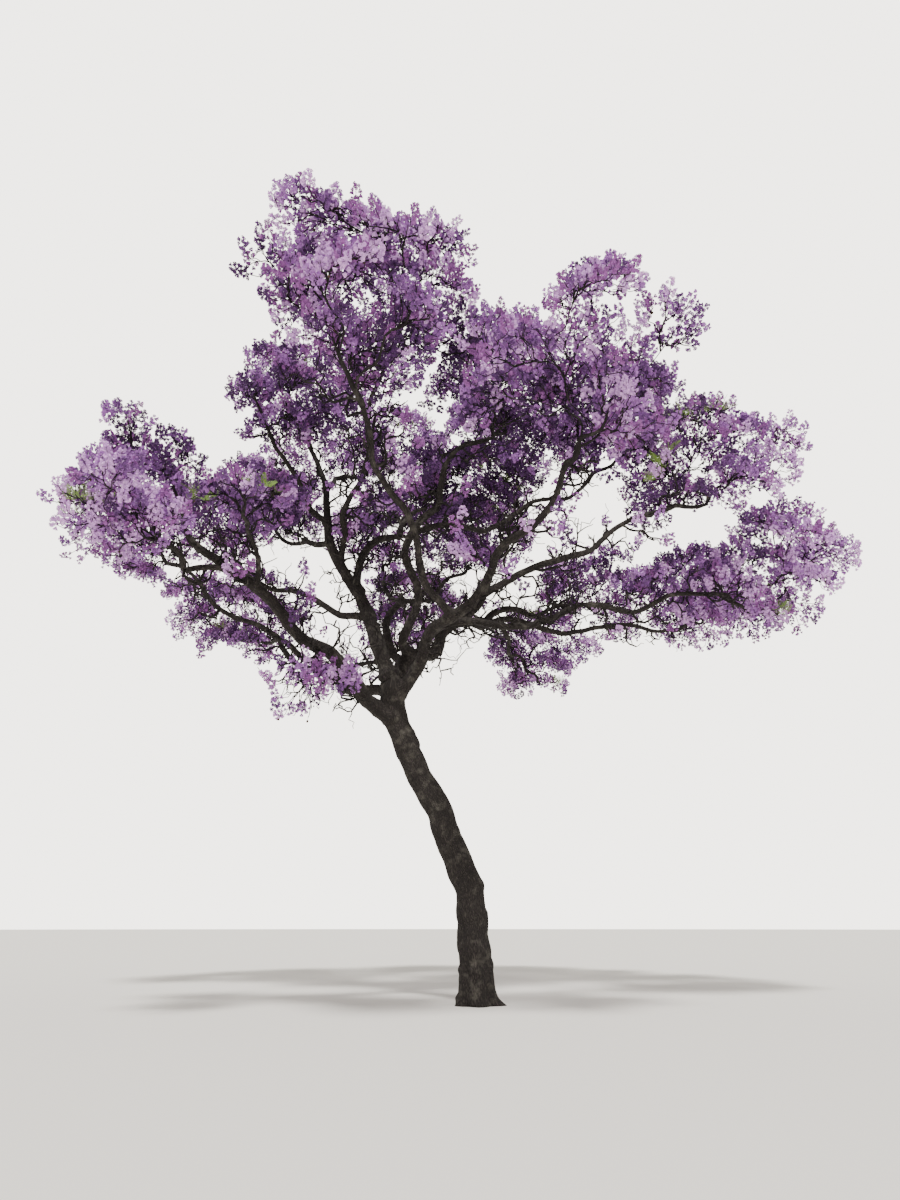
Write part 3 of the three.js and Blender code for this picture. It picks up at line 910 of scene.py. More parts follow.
def mesh_piece(name, places, faces, material, nodes):
    """A finished piece from arrays: places (n, 3), and faces as rows of three or four corners each."""
    corners = np.concatenate([rows.ravel() for rows in faces]).astype(np.int32)
    counts = np.concatenate([np.full(len(rows), rows.shape[1]) for rows in faces])
    starts = np.concatenate(((0,), np.cumsum(counts)[:-1])).astype(np.int32)
    mesh = bpy.data.meshes.new(name)
    mesh.vertices.add(len(places))
    mesh.vertices.foreach_set("co", places.astype(np.float32).ravel())
    mesh.loops.add(len(corners))
    mesh.loops.foreach_set("vertex_index", corners)
    mesh.polygons.add(len(starts))
    mesh.polygons.foreach_set("loop_start", starts)
    mesh.update(calc_edges=True)
    mesh.validate()
    piece = bpy.data.objects.new(name, mesh)
    bpy.context.scene.collection.objects.link(piece)
    finish_piece(piece, name, material, nodes)


def tubes(courses, girths, sides):
    """Closed tubes along courses (n, m, 3) with girths (n, m), as places and faces."""
    n, m, _ = courses.shape
    ways = unit(np.gradient(courses, axis=1))
    spans = unit(courses[:, -1] - courses[:, 0])
    least = np.eye(3)[np.argmin(np.abs(spans), axis=1)]
    firsts = np.cross(spans, least)[:, None]
    firsts = unit(firsts - ways * np.sum(firsts * ways, axis=2, keepdims=True))
    seconds = np.cross(ways, firsts)
    angles = 2 * math.pi * np.arange(sides) / sides
    rims = np.cos(angles)[:, None] * firsts[:, :, None] + np.sin(angles)[:, None] * seconds[:, :, None]
    places = courses[:, :, None] + girths[:, :, None, None] * rims
    corner = np.arange(n * m * sides).reshape(n, m, sides)
    onward = np.roll(corner, -1, axis=2)
    walls = np.stack((corner[:, :-1], onward[:, :-1], onward[:, 1:], corner[:, 1:]), axis=-1).reshape(-1, 4)
    faces = [walls]
    for side in range(1, sides - 1):
        faces.append(np.stack((corner[:, 0, 0], corner[:, 0, side + 1], corner[:, 0, side]), axis=1))
        faces.append(np.stack((corner[:, -1, 0], corner[:, -1, side], corner[:, -1, side + 1]), axis=1))
    return places.reshape(-1, 3), faces


def join_arrays(parts):
    """Several pairs of places and faces as one."""
    places, faces, shift = [], [], 0
    for part_places, part_faces in parts:
        places.append(part_places)
        faces += [rows + shift for rows in part_faces]
        shift += len(part_places)
    return np.vstack(places), faces


def wander(start, lead, end, arrive, sway, count, rng):
    """Courses (n, count, 3) that leave each start along lead, reach each end along arrive, and sway."""
    shares = np.linspace(0, 1, count)[None, :, None]
    span = np.linalg.norm(end - start, axis=1)[:, None, None]
    first = start[:, None] + lead[:, None] * span * LEAD_SHARE
    last = end[:, None] - arrive[:, None] * span * LEAD_SHARE
    courses = (
        (1 - shares) ** 3 * start[:, None]
        + 3 * (1 - shares) ** 2 * shares * first
        + 3 * (1 - shares) * shares**2 * last
        + shares**3 * end[:, None]
    )
    one = unit(np.cross(end - start, rng.normal(size=start.shape)))[:, None]
    other = np.cross(unit(end - start), one[:, 0])[:, None]
    waves = rng.uniform(*SWAY_WAVES, (len(start), 1, 1))
    phases = rng.uniform(0, 2 * math.pi, (2, len(start), 1, 1))
    fade = 4 * shares * (1 - shares) * sway * span
    courses += fade * np.sin(2 * math.pi * waves * shares + phases[0]) * one
    courses += fade * np.sin(2 * math.pi * waves * shares + phases[1]) * other
    return courses


def main_course(twig, limb_line, rng):
    """The wandering course of a main twig, from its carrier's own course to its spray."""
    if not twig.carrier:
        start = place_on(limb_line, STEM_OVERLAP)
        lead = unit(limb_line[-1] - start)
    else:
        start = place_on(twig.carrier.course, twig.at)
        ahead = place_on(twig.carrier.course, min(1, twig.at + COURSE_AHEAD))
        lead = unit(unit(ahead - start) + unit(twig.points[-1] - start))
    end = twig.points[-1]
    arrive = unit(unit(end - start) + RISE_AT_END * UP)
    rows = (row[None] for row in (start, lead, end, arrive))
    return wander(*rows, MAIN_SWAY, MAIN_POINTS, rng)[0]


def spray_tips(spray, rng):
    """Places for the ends of a spray's fine twigs: evenly over a low dome, and each a little off it."""
    share = np.prod(spray.halves[:2]) / np.prod(SPRAY_HALVES[:2])
    count = max(TIPS_LEAST, round(TIPS * share))
    rings = np.sqrt((np.arange(count) + 0.5) / count)
    angles = np.arange(count) * GOLDEN + rng.uniform(0, 2 * math.pi)
    flat = rings * rng.uniform(*TIP_SPREAD, count)
    level = DOME_BASE + DOME_RISE * np.sqrt(1 - rings**2) + rng.uniform(-DOME_LOOSE, DOME_LOOSE, count)
    local = np.stack((flat * np.cos(angles), flat * np.sin(angles), level), axis=1)
    return spray.middle + (local * spray.halves) @ spray.ways, rings


def fine_twigs(twig, space, rng):
    """The fine twigs of one spray: every tip, nearest first, hangs on the place along its main twig or the
    fine twigs already grown that takes the shortest and straightest new twig.

    Each is told by its start, its way there, its tip and the fine twig that carries it, or -1."""
    tips, rings = spray_tips(twig.spray, rng)
    clear = np.linalg.norm(tips[:, None] - space.marks, axis=2) > space.mark_girths + TIP_ROOM
    kept = keeps_inside(space, tips, REACH_SLACK) & np.all(clear, axis=1)
    tips, rings = tips[kept], rings[kept]
    order = np.argsort(np.linalg.norm(tips - place_on(twig.course, FINE_FROM[0]), axis=1))
    tips, rings = tips[order], rings[order]
    shares = np.array(FINE_FROM)
    places = np.array([place_on(twig.course, share) for share in shares])
    onward = np.array([place_on(twig.course, min(1, share + COURSE_AHEAD)) for share in shares])
    ways = unit(onward - places)
    ways[-1] = unit(twig.course[-1] - twig.course[-2])
    owners = np.full(len(shares), -1)
    grown = []
    for i, tip in enumerate(tips):
        spans = tip - places
        lengths = np.maximum(np.linalg.norm(spans, axis=1), FINE_NEAREST)
        straight = np.sum(spans * ways, axis=1) / lengths
        best = int(np.argmin(lengths * (FINE_TURN_COST - straight) + FINE_LEAST / lengths))
        start, way = places[best], ways[best]
        grown.append((start, way, tip, owners[best]))
        used = np.arange(len(places)) != best
        fresh = start + (tip - start) * np.array(FINE_LEAVING)[:, None]
        along = unit(tip - start)
        places = np.vstack((places[used], fresh))
        ways = np.vstack((ways[used], np.repeat(along[None], len(fresh), axis=0)))
        owners = np.concatenate((owners[used], np.full(len(fresh), i)))
    return grown, rings


@functools.lru_cache
def grow_crown():
    """Every twig of every mass: the main ones, and the fine ones with a tip each, as arrays."""
    rng = np.random.default_rng(CROWN_SEED)
    limbs = grow_limbs()
    mains, starts, ways, tips, loads, rings, sprays, masses = [], [], [], [], [], [], [], []
    for i, space in enumerate(mass_spaces()):
        limb_line = limbs[space.name].points
        for twig in grow_twigs(space, scatter_sprays(space, seeded(SEED + i))):
            twig.course = main_course(twig, limb_line, rng)
            grown, tip_rings = fine_twigs(twig, space, rng)
            load = np.ones(len(grown))
            for k in reversed(range(len(grown))):
                owner = grown[k][3]
                if owner >= 0:
                    load[owner] += load[k]
            for start, way, tip, _ in grown:
                starts.append(start)
                ways.append(way)
                tips.append(tip)
            loads.append(load)
            rings.append(tip_rings)
            sprays.append(np.full(len(grown), len(mains)))
            masses.append(np.full(len(grown), i))
            mains.append(twig)
    return {
        "mains": mains,
        "courses": strayed(np.array([twig.course for twig in mains])),
        "starts": strayed(np.array(starts)),
        "ways": np.array(ways),
        "tips": strayed(np.array(tips)),
        "loads": np.concatenate(loads),
        "rings": np.concatenate(rings),
        "sprays": np.concatenate(sprays),
        "masses": np.concatenate(masses),
    }


def girths_of_fine(loads):
    """The radii of fine twigs from foot to tip: each thickens with what it carries, up to a limit."""
    foot = np.minimum(FINE_GIRTH * loads**TWIG_THICKENING, FINE_MOST)
    shares = np.linspace(0, 1, FINE_POINTS)
    return foot[:, None] + (FINE_GIRTH - foot[:, None]) * shares


def panicle_axes(crown, rng):
    """The way that each tip's panicle points: up, and out from the middle of its spray."""
    middles = np.array([twig.spray.middle for twig in crown["mains"]])[crown["sprays"]]
    outward = unit(crown["tips"] - middles) * crown["rings"][:, None]
    return unit(UP * PANICLE_UP + outward * PANICLE_OUT + rng.normal(size=outward.shape) * PANICLE_LOOSE)


@functools.lru_cache
def dress_tips():
    """What each tip carries: blossom, leaves or nothing, with its axis and its length."""
    crown = grow_crown()
    rng = np.random.default_rng(TIP_SEED)
    count = len(crown["tips"])
    axes = panicle_axes(crown, rng)
    lengths = rng.uniform(*PANICLE_LENGTHS, count)
    leafy_spray = rng.random(len(crown["mains"])) < LEAFY_SPRAYS
    leafy = leafy_spray[crown["sprays"]] & (rng.random(count) < LEAFY_TIPS)
    leafy &= crown["rings"] < LEAFY_RING
    open_ones = [i for i, space in enumerate(mass_spaces()) if space.name in OPEN_MASSES]
    bare_share = np.where(np.isin(crown["masses"], open_ones), OPEN_BARE, BARE_TIPS)
    bare = ~leafy & (rng.random(count) < bare_share)
    return axes, lengths, leafy, bare


def tones_with_painted_light():
    """Which tone each tip has: the further out its spray is, the paler, with as many tips of each tone. The
    deeper tones inside the crown are painted shade and the paler ones outside are painted light; the random
    part is the blossom's own differing tone.
    """
    crown = grow_crown()
    rng = np.random.default_rng(TONE_SEED)
    middles = np.array([twig.spray.middle for twig in crown["mains"]])
    centre = (middles.min(axis=0) + middles.max(axis=0)) / 2
    away = np.linalg.norm((middles - centre) / (1, 1, FLATNESS), axis=1)
    of_spray = away / away.max() + rng.random(len(middles)) * SPRAY_LOOSE
    score = of_spray[crown["sprays"]] + rng.random(len(crown["tips"])) * TIP_LOOSE
    rank = np.argsort(np.argsort(score))
    return rank * len(BLOSSOM_NAMES) // len(score)


def flower_shape():
    """A flower along +Z at length one: lobes that spread from one point into a funnel."""
    lobes = np.arange(LOBES)
    middles = 2 * math.pi * lobes / LOBES
    corners = [np.zeros((1, 3))]
    for side in (-1, 1):
        turns = middles + side * LOBE_HALF_ANGLE
        rim = (LOBE_WIDE * np.cos(turns), LOBE_WIDE * np.sin(turns), np.full(LOBES, LOBE_AT))
        corners.append(np.stack(rim, axis=1))
    faces = np.stack((np.zeros(LOBES, int), 1 + LOBES + lobes, 1 + lobes), axis=1)
    return np.vstack(corners), faces


def placed_copies(shape, bases, ways, spins, sizes):
    """Copies of a shape along +Z, each at a base, along a way, spun about it and sized."""
    places, faces = shape
    least = np.eye(3)[np.argmin(np.abs(ways), axis=1)]
    one = unit(np.cross(ways, least))
    other = np.cross(ways, one)
    side = np.cos(spins)[:, None] * one + np.sin(spins)[:, None] * other
    cross = np.cross(ways, side)
    axes = np.stack((side, cross, ways), axis=1) * sizes[:, None, None]
    copies = bases[:, None] + np.einsum("pk,nkj->npj", places, axes)
    shifts = len(places) * np.arange(len(bases))
    return copies.reshape(-1, 3), (faces[None] + shifts[:, None, None]).reshape(-1, faces.shape[1])


def flowers_at(tips, axes, lengths, rng):
    """The flowers of panicles: round the axis by the golden angle, opening outwards, smaller to the end, and
    each on a stalk where it stands off the axis."""
    count = len(tips)
    up_axis = (np.arange(FLOWERS) + 0.5) / FLOWERS
    least = np.eye(3)[np.argmin(np.abs(axes), axis=1)]
    one = unit(np.cross(axes, least))
    other = np.cross(axes, one)
    angles = np.arange(FLOWERS) * GOLDEN + rng.uniform(0, 2 * math.pi, (count, 1))
    radial = np.cos(angles)[..., None] * one[:, None] + np.sin(angles)[..., None] * other[:, None]
    stalks = between(FLOWER_STALKS, up_axis) * rng.uniform(*STALK_LOOSE, (count, FLOWERS))
    roots = tips[:, None] + axes[:, None] * (up_axis * lengths[:, None])[..., None]
    bases = roots + radial * stalks[..., None]
    ways = radial * FLOWER_OUT + axes[:, None] * (FLOWER_UP * up_axis)[:, None] - UP * FLOWER_DROOP
    ways = unit(ways + rng.normal(size=ways.shape) * FLOWER_LOOSE)
    sizes = tree_settings().flower_length * rng.uniform(*FLOWER_SIZES, (count, FLOWERS))
    sizes *= 1 - FLOWER_LESSEN * up_axis
    spins = rng.uniform(0, 2 * math.pi, count * FLOWERS)
    rows = (bases.reshape(-1, 3), ways.reshape(-1, 3), spins, sizes.ravel())
    flowers, lobes = placed_copies(flower_shape(), *rows)
    half = np.broadcast_to(axes[:, None] * STALK_WIDE / 2, roots.shape)
    held = np.stack((roots - half, roots + half, bases), axis=2)[stalks > STALK_SHOWN].reshape(-1, 3)
    return join_arrays([(flowers, [lobes]), (held, [np.arange(len(held)).reshape(-1, 3)])])


def frond_shape():
    """A fern-like frond along +Z at length one: a drooping midrib with pairs of pointed leaflets."""
    places, faces = [], []
    for k in range(LEAFLET_PAIRS):
        along = FROND_STALK + (1 - FROND_STALK) * k / (LEAFLET_PAIRS - 1)
        swell = math.sin(math.pi * (LEAFLET_FROM + LEAFLET_SPAN * along))
        long = LEAFLET_LONG * (LEAFLET_LEAST + swell)
        rib = np.array((0, -FROND_DROOP * along**2, along))
        for side in (-1, 1):
            tip = rib + (side * long, -LEAFLET_DROP * long, LEAFLET_AHEAD * long)
            middle = (rib + tip) / 2
            half = np.array((-side * LEAFLET_SLANT, 0, 1)) * LEAFLET_WIDE / 2
            start = len(places)
            places += [rib, middle + half, tip, middle - half]
            faces.append([start, start + 1, start + 2, start + 3])
    for k in range(RIB_PARTS):
        low, high = k / RIB_PARTS, (k + 1) / RIB_PARTS
        start = len(places)
        for along, side in ((low, -1), (low, 1), (high, 1), (high, -1)):
            places.append(np.array((side * RIB_WIDE / 2, -FROND_DROOP * along**2, along)))
        faces.append([start, start + 1, start + 2, start + 3])
    return np.array(places), np.array(faces)


def pod_shape():
    """A round flat seed pod that hangs along +Z at length one: a rim and two bulging sides."""
    turns = 2 * math.pi * np.arange(POD_SIDES) / POD_SIDES
    wave = POD_WAVE * np.sin(POD_WAVES * turns)
    rim = np.stack((np.sin(turns) / 2, wave, 0.5 - np.cos(turns) / 2), axis=1)
    places = np.vstack((rim, ((0, POD_THICK, 0.5), (0, -POD_THICK, 0.5))))
    near = np.arange(POD_SIDES)
    onward = (near + 1) % POD_SIDES
    one = np.stack((near, onward, np.full(POD_SIDES, POD_SIDES)), axis=1)
    other = np.stack((onward, near, np.full(POD_SIDES, POD_SIDES + 1)), axis=1)
    return places, np.vstack((one, other))


def along_boughs(spacing, rng):
    """Places along the boughs about a spacing apart: each with the bough's way, share and girth there."""
    for shape in grow_limbs().values():
        if not shape.carrier:
            continue
        line = line_of(shape)
        count = int(np.sum(np.linalg.norm(np.diff(line, axis=0), axis=1)) / spacing)
        shares = (np.arange(count) + rng.uniform(*SIDE_PLACES, count)) / count * (1 - SIDE_FROM) + SIDE_FROM
        for share in shares:
            way = unit(place_on(line, min(1, share + SIDE_STEP)) - place_on(line, share - SIDE_STEP))
            yield place_on(line, share), way, share, between(shape.girths, share)


@functools.lru_cache
def side_twigs():
    """Short twigs along the boughs, each with a few forks: their tubes, and the tips that have blossom."""
    rng = np.random.default_rng(SIDE_SEED)
    starts, leads, ends, girths, held = [], [], [], [], []
    for start, way, share, girth in along_boughs(SIDE_SPACING, rng):
        turn = unit(np.cross(way, rng.normal(size=3)))
        out = unit(turn + SIDE_UP * UP + SIDE_AHEAD * way)
        long = rng.uniform(*SIDE_LENGTHS)
        starts.append(start)
        leads.append(out)
        ends.append(start + out * (long + girth) + SIDE_LIFT * long * UP)
        girths.append(SIDE_GIRTH * (SIDE_STOUT + long))
        far_out = share > SIDE_BLOSSOM_FROM and long > SIDE_BLOSSOM_LONG
        held.append(far_out and rng.random() < SIDE_BLOSSOM)
    starts, leads, ends, held = np.array(starts), np.array(leads), np.array(ends), np.array(held)
    courses = wander(starts, leads, ends, unit(ends - starts + UP * SIDE_RISE), SIDE_SWAY, SIDE_POINTS, rng)
    widths = np.array(girths)[:, None] * np.linspace(1, SIDE_TAPER, SIDE_POINTS)
    parts = [tubes(courses, widths, SIDE_SIDES)]
    tips, ways = [ends[held]], [unit(ends - starts)[held]]
    for at in SIDE_FORKS:
        step = round(at * (SIDE_POINTS - 1))
        fork = courses[:, step]
        along = unit(courses[:, step] - courses[:, step - 1])
        out = unit(along + FORK_OUT * unit(np.cross(along, rng.normal(size=along.shape))))
        long = np.linalg.norm(ends - starts, axis=1) * rng.uniform(*FORK_LENGTHS, len(starts))
        fork_tips = fork + out * long[:, None] + UP * (SIDE_LIFT * long)[:, None]
        rows = wander(fork, along, fork_tips, out, SIDE_SWAY, FORK_POINTS, rng)
        thick = widths[:, step][:, None] * FORK_SHARE * np.linspace(1, SIDE_TAPER, FORK_POINTS)
        parts.append(tubes(rows, thick, FORK_SIDES))
        tips.append(fork_tips[held])
        ways.append(out[held])
    return parts, np.vstack(tips), np.vstack(ways)


def stubs():
    """Worn stubs of shed twigs along the boughs."""
    rng = np.random.default_rng(SIDE_SEED + 1)
    courses, girths = [], []
    for start, way, _, girth in along_boughs(STUB_SPACING, rng):
        out = unit(unit(np.cross(way, rng.normal(size=3))) + SIDE_AHEAD * way)
        long = girth + rng.uniform(*STUB_LENGTHS)
        thick = max(STUB_LEAST, girth * rng.uniform(*STUB_GIRTHS))
        bend = unit(out + rng.normal(size=3) * STUB_LOOSE)
        middle = start + out * long * STUB_MIDDLE
        courses.append((start, start + out * long * STUB_LOW, middle, middle + bend * long * STUB_END))
        girths.append([thick * share for share in STUB_TAPER])
    return tubes(np.array(courses), np.array(girths), STUB_SIDES)


def new_group(name, sockets):
    """A shader node group with named sockets: (name, kind, is an input, default)."""
    group = bpy.data.node_groups.new(name, "ShaderNodeTree")
    for label, kind, is_input, value in sockets:
        direction = "INPUT" if is_input else "OUTPUT"
        socket = group.interface.new_socket(name=label, in_out=direction, socket_type=kind)
        if value is not None:
            socket.default_value = value
    return group, group.nodes.new("NodeGroupInput"), group.nodes.new("NodeGroupOutput")


def node(tree, kind, inputs=None, **values):
    """A node with its settings, and its inputs set to values or linked to other nodes' outputs."""
    made = tree.nodes.new(kind)
    for key, value in values.items():
        setattr(made, key, value)
    for key, value in (inputs or {}).items():
        if isinstance(value, bpy.types.NodeSocket):
            tree.links.new(value, made.inputs[key])
        else:
            made.inputs[key].default_value = value
    return made


def mix_colours(tree, share, one, other):
    """Two colours mixed by a share."""
    return node(tree, "ShaderNodeMix", {0: share, 6: one, 7: other}, data_type="RGBA").outputs[2]


def product(tree, one, other):
    """One number times another."""
    return node(tree, "ShaderNodeMath", {0: one, 1: other}, operation="MULTIPLY").outputs[0]


def mapped(tree, value, span=(0, 1), told=(0, 1)):
    """A value carried over from one span to another."""
    inputs = {0: value, 1: span[0], 2: span[1], 3: told[0], 4: told[1]}
    return node(tree, "ShaderNodeMapRange", inputs).outputs[0]


def bark_group():
    """Bark: scaly plates between furrows that run with the grain, streaks, and paler weathered patches."""
    group, given, told = new_group(
        "Bark grain",
        (
            ("Grain", "NodeSocketVector", True, None),
            ("Place", "NodeSocketVector", True, None),
            ("Scale", "NodeSocketFloat", True, 1.0),
            ("Ridge", "NodeSocketColor", True, None),
            ("Furrow", "NodeSocketColor", True, None),
            ("Patch", "NodeSocketColor", True, None),
            ("Color", "NodeSocketColor", False, None),
            ("Height", "NodeSocketFloat", False, None),
            ("Roughness", "NodeSocketFloat", False, None),
        ),
    )
    place, grain, scale = given.outputs["Place"], given.outputs["Grain"], given.outputs["Scale"]

    def noise_of(vector, marks, detail):
        inputs = {"Vector": vector, "Scale": marks, "Detail": detail, "Roughness": BARK_ROUGH}
        return node(group, "ShaderNodeTexNoise", inputs).outputs

    wobble = noise_of(grain, product(group, scale, BARK_WOBBLE), WOBBLE_DETAIL)["Color"]
    pushed = node(group, "ShaderNodeVectorMath", {0: wobble, 1: (BARK_PUSH,) * 3}, operation="MULTIPLY")
    bent = node(group, "ShaderNodeVectorMath", {0: grain, 1: pushed.outputs[0]}, operation="ADD").outputs[0]
    inputs = {"Vector": bent, "Scale": product(group, scale, BARK_COARSE)}
    plates = node(group, "ShaderNodeTexVoronoi", inputs, feature="DISTANCE_TO_EDGE").outputs["Distance"]
    scales = noise_of(grain, product(group, scale, BARK_FINE), FINE_DETAIL)[0]
    height = product(group, product(group, mapped(group, plates, (0, BARK_EDGE)), scales), BARK_HEIGHT)
    streaks = noise_of(grain, product(group, scale, BARK_STREAKS), STREAK_DETAIL)[0]
    shade = product(group, height, mapped(group, streaks, STREAK_SPAN, STREAK_SHADE))
    mottle = noise_of(place, BARK_PATCHES, PATCH_DETAIL)[0]
    patch = product(group, mapped(group, mottle, PATCH_SPAN), scales)
    base = mix_colours(group, shade, given.outputs["Furrow"], given.outputs["Ridge"])
    shown = mix_colours(group, patch, base, given.outputs["Patch"])
    group.links.new(shown, told.inputs["Color"])
    group.links.new(height, told.inputs["Height"])
    group.links.new(mapped(group, scales, told=BARK_DULL), told.inputs["Roughness"])
    return group


def tone_group():
    """A soft change of tone over a surface, lighter here and darker there."""
    group, given, told = new_group(
        "Living tone",
        (
            ("Place", "NodeSocketVector", True, None),
            ("Scale", "NodeSocketFloat", True, 6.0),
            ("Base", "NodeSocketColor", True, None),
            ("Light", "NodeSocketColor", True, None),
            ("Deep", "NodeSocketColor", True, None),
            ("Color", "NodeSocketColor", False, None),
            ("Roughness", "NodeSocketFloat", False, None),
        ),
    )
    place, scale = given.outputs["Place"], given.outputs["Scale"]
    inputs = {"Vector": place, "Scale": scale, "Detail": TONE_DETAIL, "Roughness": TONE_ROUGH}
    drift = node(group, "ShaderNodeTexNoise", inputs).outputs[0]
    base, light, deep = (given.outputs[label] for label in ("Base", "Light", "Deep"))
    lighter = mix_colours(group, mapped(group, drift, TONE_LIGHT), base, light)
    shown = mix_colours(group, mapped(group, drift, TONE_DEEP), lighter, deep)
    group.links.new(shown, told.inputs["Color"])
    group.links.new(mapped(group, drift, told=TONE_DULL), told.inputs["Roughness"])
    return group


def group_of(name, make):
    """The node group of that name, made where there is none."""
    return bpy.data.node_groups.get(name) or make()


def new_material(name):
    """A material with an empty node tree but for its surface shader."""
    material = bpy.data.materials.new(name)
    material.use_nodes = True
    tree = material.node_tree
    return material, tree, tree.nodes["Principled BSDF"]


def bark_material(name, tone, grain_name, scale, depth):
    """Bark with relief: its grain follows an attribute of the mesh, or the object where it has none."""
    material, tree, shader = new_material(name)
    place = node(tree, "ShaderNodeTexCoord").outputs["Object"]
    grain = place
    if grain_name:
        grain = node(tree, "ShaderNodeAttribute", attribute_name=grain_name).outputs["Vector"]
    look = tree_settings()
    tones = {"Ridge": (*tone, 1), "Furrow": (*look.bark_furrow, 1), "Patch": (*look.bark_patch, 1)}
    inputs = {"Grain": grain, "Place": place, "Scale": scale, **tones}
    bark = node(tree, "ShaderNodeGroup", inputs, node_tree=group_of("Bark grain", bark_group))
    relief = {"Height": bark.outputs["Height"], "Distance": depth, "Strength": BARK_BUMP}
    tree.links.new(bark.outputs["Color"], shader.inputs["Base Color"])
    tree.links.new(bark.outputs["Roughness"], shader.inputs["Roughness"])
    tree.links.new(node(tree, "ShaderNodeBump", relief).outputs[0], shader.inputs["Normal"])
    shader.inputs["Specular IOR Level"].default_value = BARK_SHINE
    return material


def living_material(name, base, spread, scale, sheen):
    """Petals, leaves or pods: a base colour that drifts lighter and deeper."""
    material, tree, shader = new_material(name)
    place = node(tree, "ShaderNodeTexCoord").outputs["Object"]
    light = [min(1, part * (1 + spread)) for part in base]
    deep = [part * (1 - spread) for part in base]
    tones = {"Base": (*base, 1), "Light": (*light, 1), "Deep": (*deep, 1)}
    inputs = {"Place": place, "Scale": scale, **tones}
    tone = node(tree, "ShaderNodeGroup", inputs, node_tree=group_of("Living tone", tone_group))
    tree.links.new(tone.outputs["Color"], shader.inputs["Base Color"])
    tree.links.new(tone.outputs["Roughness"], shader.inputs["Roughness"])
    shader.inputs["Specular IOR Level"].default_value = LIVING_SHINE
    shader.inputs["Sheen Weight"].default_value = sheen
    return material


def colour(name, description, value):
    """A setting that holds a colour."""
    return bpy.props.FloatVectorProperty(
        name=name, description=description, default=value, size=3, min=0, max=1, subtype="COLOR"
    )


class JacarandaTree(bpy.types.PropertyGroup):
    """Sizes and colours of the tree."""

    flower_length: bpy.props.FloatProperty(
        name="Flower length", description="Length of one flower", default=0.085, min=0.02, max=0.2,
        unit="LENGTH",
    )
    bark_ridge: colour("Bark ridge", "Colour of the bark's ridges", (0.05, 0.042, 0.038))
    bark_furrow: colour("Bark furrow", "Colour of the bark's furrows", (0.01, 0.008, 0.008))
    bark_patch: colour("Bark patch", "Colour of weathered bark", (0.125, 0.117, 0.1))
    twig_bark: colour("Twig bark", "Colour of a twig's bark", (0.022, 0.017, 0.017))
    # The blossom tones are partly the blossom's own tones and partly painted light: the deep ones are painted
    # shade inside the crown, and the pale ones are painted light at its outside
    blossom_deep: colour("Deep blossom", "Blossom inside the crown", (0.1, 0.035, 0.145))
    blossom_violet: colour("Violet blossom", "Blossom between inside and outside", (0.2, 0.08, 0.275))
    blossom_rosy: colour("Rosy blossom", "Blossom with more red in it", (0.34, 0.12, 0.39))
    blossom_bright: colour("Bright blossom", "Blossom near the crown's outside", (0.42, 0.185, 0.53))
    blossom_pale: colour("Pale blossom", "Blossom at the crown's outside", (0.74, 0.43, 0.86))
    leaf: colour("Leaf", "Young leaves", (0.2, 0.33, 0.06))
    pod: colour("Pod", "Old seed pods", (0.06, 0.035, 0.022))


class JacarandaStage(bpy.types.PropertyGroup):
    """The floor, the light and the camera."""

    floor_tone: colour("Floor", "Colour of the floor", (0.88, 0.86, 0.82))
    sky_tone: colour("Surround", "Colour of the light all round", (1.0, 0.96, 0.89))
    sky_strength: bpy.props.FloatProperty(
        name="Surround strength", description="Strength of the light all round", default=0.8, min=0, max=5
    )
    sky_seen: bpy.props.FloatProperty(
        name="Backdrop", description="How bright the surround looks behind the tree", default=4.2,
        min=0, max=20,
    )
    lamp_strength: bpy.props.FloatProperty(
        name="Lamp strength", description="Strength of the soft light from above", default=4.5, min=0, max=20
    )
    eye: bpy.props.FloatVectorProperty(
        name="Eye", description="Where the camera stands", default=(-11.0, -15.0, 1.6), unit="LENGTH"
    )
    look_right: bpy.props.FloatProperty(
        name="Look right", description="How far the camera is turned to the right", subtype="ANGLE",
        default=math.radians(34.4),
    )
    look_up: bpy.props.FloatProperty(
        name="Look up", description="How far the camera is tipped up", subtype="ANGLE",
        default=math.radians(23.5),
    )
    view_width: bpy.props.FloatProperty(
        name="View width", description="How wide the camera sees", subtype="ANGLE",
        default=math.radians(62),
    )


def tree_settings():
    """The sizes and colours set for the tree."""
    return bpy.context.scene.jacaranda_tree


def mass_nodes():
    """The nodes of all masses of blossom."""
    return [shape.name + "_blossom" for shape in grow_limbs().values() if shape.carrier]


def limb_material():
    """The bark of trunk and boughs, made once."""
    made = bpy.data.materials.get("Limb bark")
    return made or bark_material("Limb bark", tree_settings().bark_ridge, "grain", *LIMB_BARK)


class JACARANDA_OT_trunk(bpy.types.Operator):
    """Sweep the trunk from below ground to its fork, carve its flare and bark, and cut it off flat"""

    bl_idname = "jacaranda.trunk"
    bl_label = "Trunk"

    def execute(self, context):
        trunk = make_limb(grow_limbs()["trunk"], 0)
        bpy.ops.object.mode_set(mode="EDIT")
        bpy.ops.mesh.select_all(action="SELECT")
        bpy.ops.mesh.bisect(plane_co=(0, 0, 0), plane_no=(0, 0, 1), use_fill=True, clear_inner=True)
        bpy.ops.object.mode_set(mode="OBJECT")
        places = places_of(trunk)
        places[:, 2] = np.maximum(places[:, 2], 0)
        trunk.data.vertices.foreach_set("co", places.astype(np.float32).ravel())
        finish_piece(trunk, "trunk_bark", limb_material(), ["trunk"])
        return {"FINISHED"}


